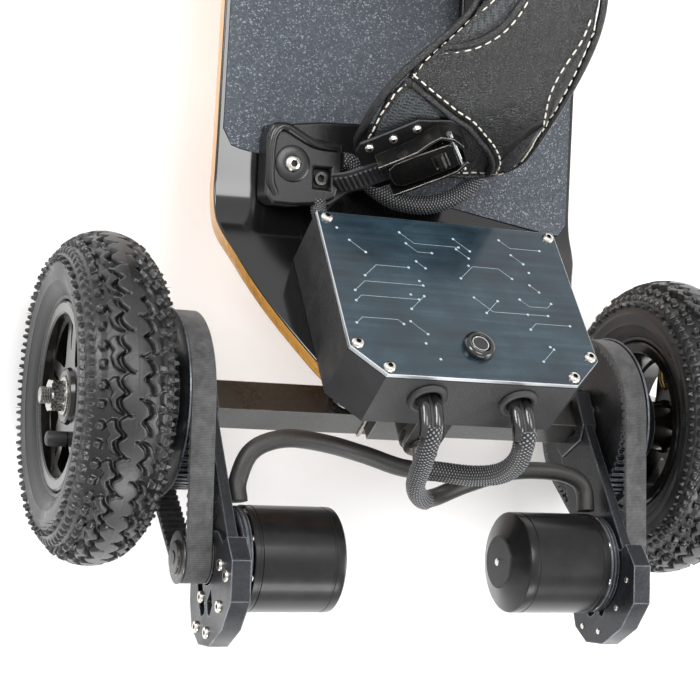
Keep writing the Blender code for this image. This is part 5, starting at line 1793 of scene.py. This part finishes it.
def make_battery():
    """Ribs, screws, gland and charge port on the battery case."""
    keep("battery_case", "pad_plastic", 1.2 * MM, 3)
    keep("battery_lid", "pad_plastic", 1.0 * MM, 3)
    keep("battery_pack", "wrap", 1.0 * MM)
    top = 0.0016 + 0.074 + 0.0003 + 0.004
    for i in range(7):
        x = (-60 + 20 * i) * MM
        put(f"lid_rib_{i}", box_mesh("lid_rib", (0.005, 0.080, 0.0018), (0, 0, 0.0007)), "pad_plastic", "deck",
            REAR_END @ Matrix.Translation((x, BATTERY_Y, top)), "battery_black", (), 0.7 * MM, segments=3)
    for i, (x, y) in enumerate(((-90, -46), (0, -48), (90, -46), (-90, 46), (0, 48), (90, 46))):
        screw(f"lid_screw_{i}", SMALL_SCREW, "deck", REAR_END @ Vector((x * MM, BATTERY_Y + y * MM, top - 0.0002)),
              (0, 0, 1), i * 0.6, "kingpin_steel")
    gland = lathe_mesh("lead_gland", [(6.2, -1), (10.6, -1), (11, -0.4), (11, 3.4), (9.6, 4.6), (8.4, 9.6), (7.2, 10.2),
                                      (6.1, 10.2)], 40, sharp=30)
    put("lead_gland", gland, "rubber", "deck", REAR_END @ Matrix.Translation((0.056, BATTERY_Y - 0.056, 0.0126))
        @ Matrix.Rotation(math.pi / 2, 4, "X"), "battery_black")
    port = lathe_mesh("charge_port", [(0, 2.4), (8.6, 2.4), (9.4, 1.8), (9.6, 0.6), (12.2, 0.6), (12.6, 0),
                                       (12.6, -1)], 48, sharp=30)
    put("charge_port", port, "rubber", "deck", REAR_END @ Matrix.Translation((0.1004, BATTERY_Y, 0.045))
        @ Matrix.Rotation(math.pi / 2, 4, "Y"), "battery_black")


make_battery()


# ---------------------------------------------------------------- stage, light and camera

def make_stage():
    floor = put("studio_floor", mesh("studio_floor", [(-6, -6, 0), (6, -6, 0), (6, 6, 0), (-6, 6, 0)], [[0, 1, 2, 3]]),
                "floor", None)
    floor.location.z = -0.0005
    world = bpy.data.worlds.new("studio")
    bpy.context.scene.world = world
    world.use_nodes = True
    world.node_tree.nodes["Background"].inputs["Color"].default_value = (1, 1, 1, 1)
    world.node_tree.nodes["Background"].inputs["Strength"].default_value = 0.9
    for name, at, aim, size, power in (("key", (-1.6, 0.9, 1.9), (0, -0.3, 0.1), (1.4, 0.8), 42),
                                       ("fill", (1.8, -0.7, 1.5), (0, -0.3, 0.1), (1.2, 1.0), 24),
                                       ("back", (0.2, -2.2, 1.2), (0, -0.4, 0.1), (1.6, 0.6), 22),
                                       ("top", (0.2, 0.5, 2.4), (0, 0.0, 0.1), (1.0, 1.0), 20)):
        light = bpy.data.lights.new(name, "AREA")
        light.shape = "RECTANGLE"
        light.size, light.size_y = size
        light.energy = power
        obj = bpy.data.objects.new(name, light)
        bpy.context.scene.collection.objects.link(obj)
        obj.location = at
        obj.rotation_euler = (Vector(aim) - Vector(at)).to_track_quat("-Z", "Y").to_euler()


def make_camera():
    data = bpy.data.cameras.new("camera")
    data.lens, data.sensor_width = 87.63, 36
    data.clip_start = 0.05
    obj = bpy.data.objects.new("camera", data)
    bpy.context.scene.collection.objects.link(obj)
    right, up, back = (0.92238, 0.05303, 0.38263), (-0.06007, 0.99817, 0.00648), (-0.38158, -0.02896, 0.92388)
    basis = Matrix((right, up, back)).transposed().to_4x4()
    obj.matrix_world = Matrix.Translation((-0.44673, -0.42572, 1.10106)) @ basis
    bpy.context.scene.camera = obj


make_stage()
make_camera()
bpy.context.scene.view_settings.view_transform = "Standard"
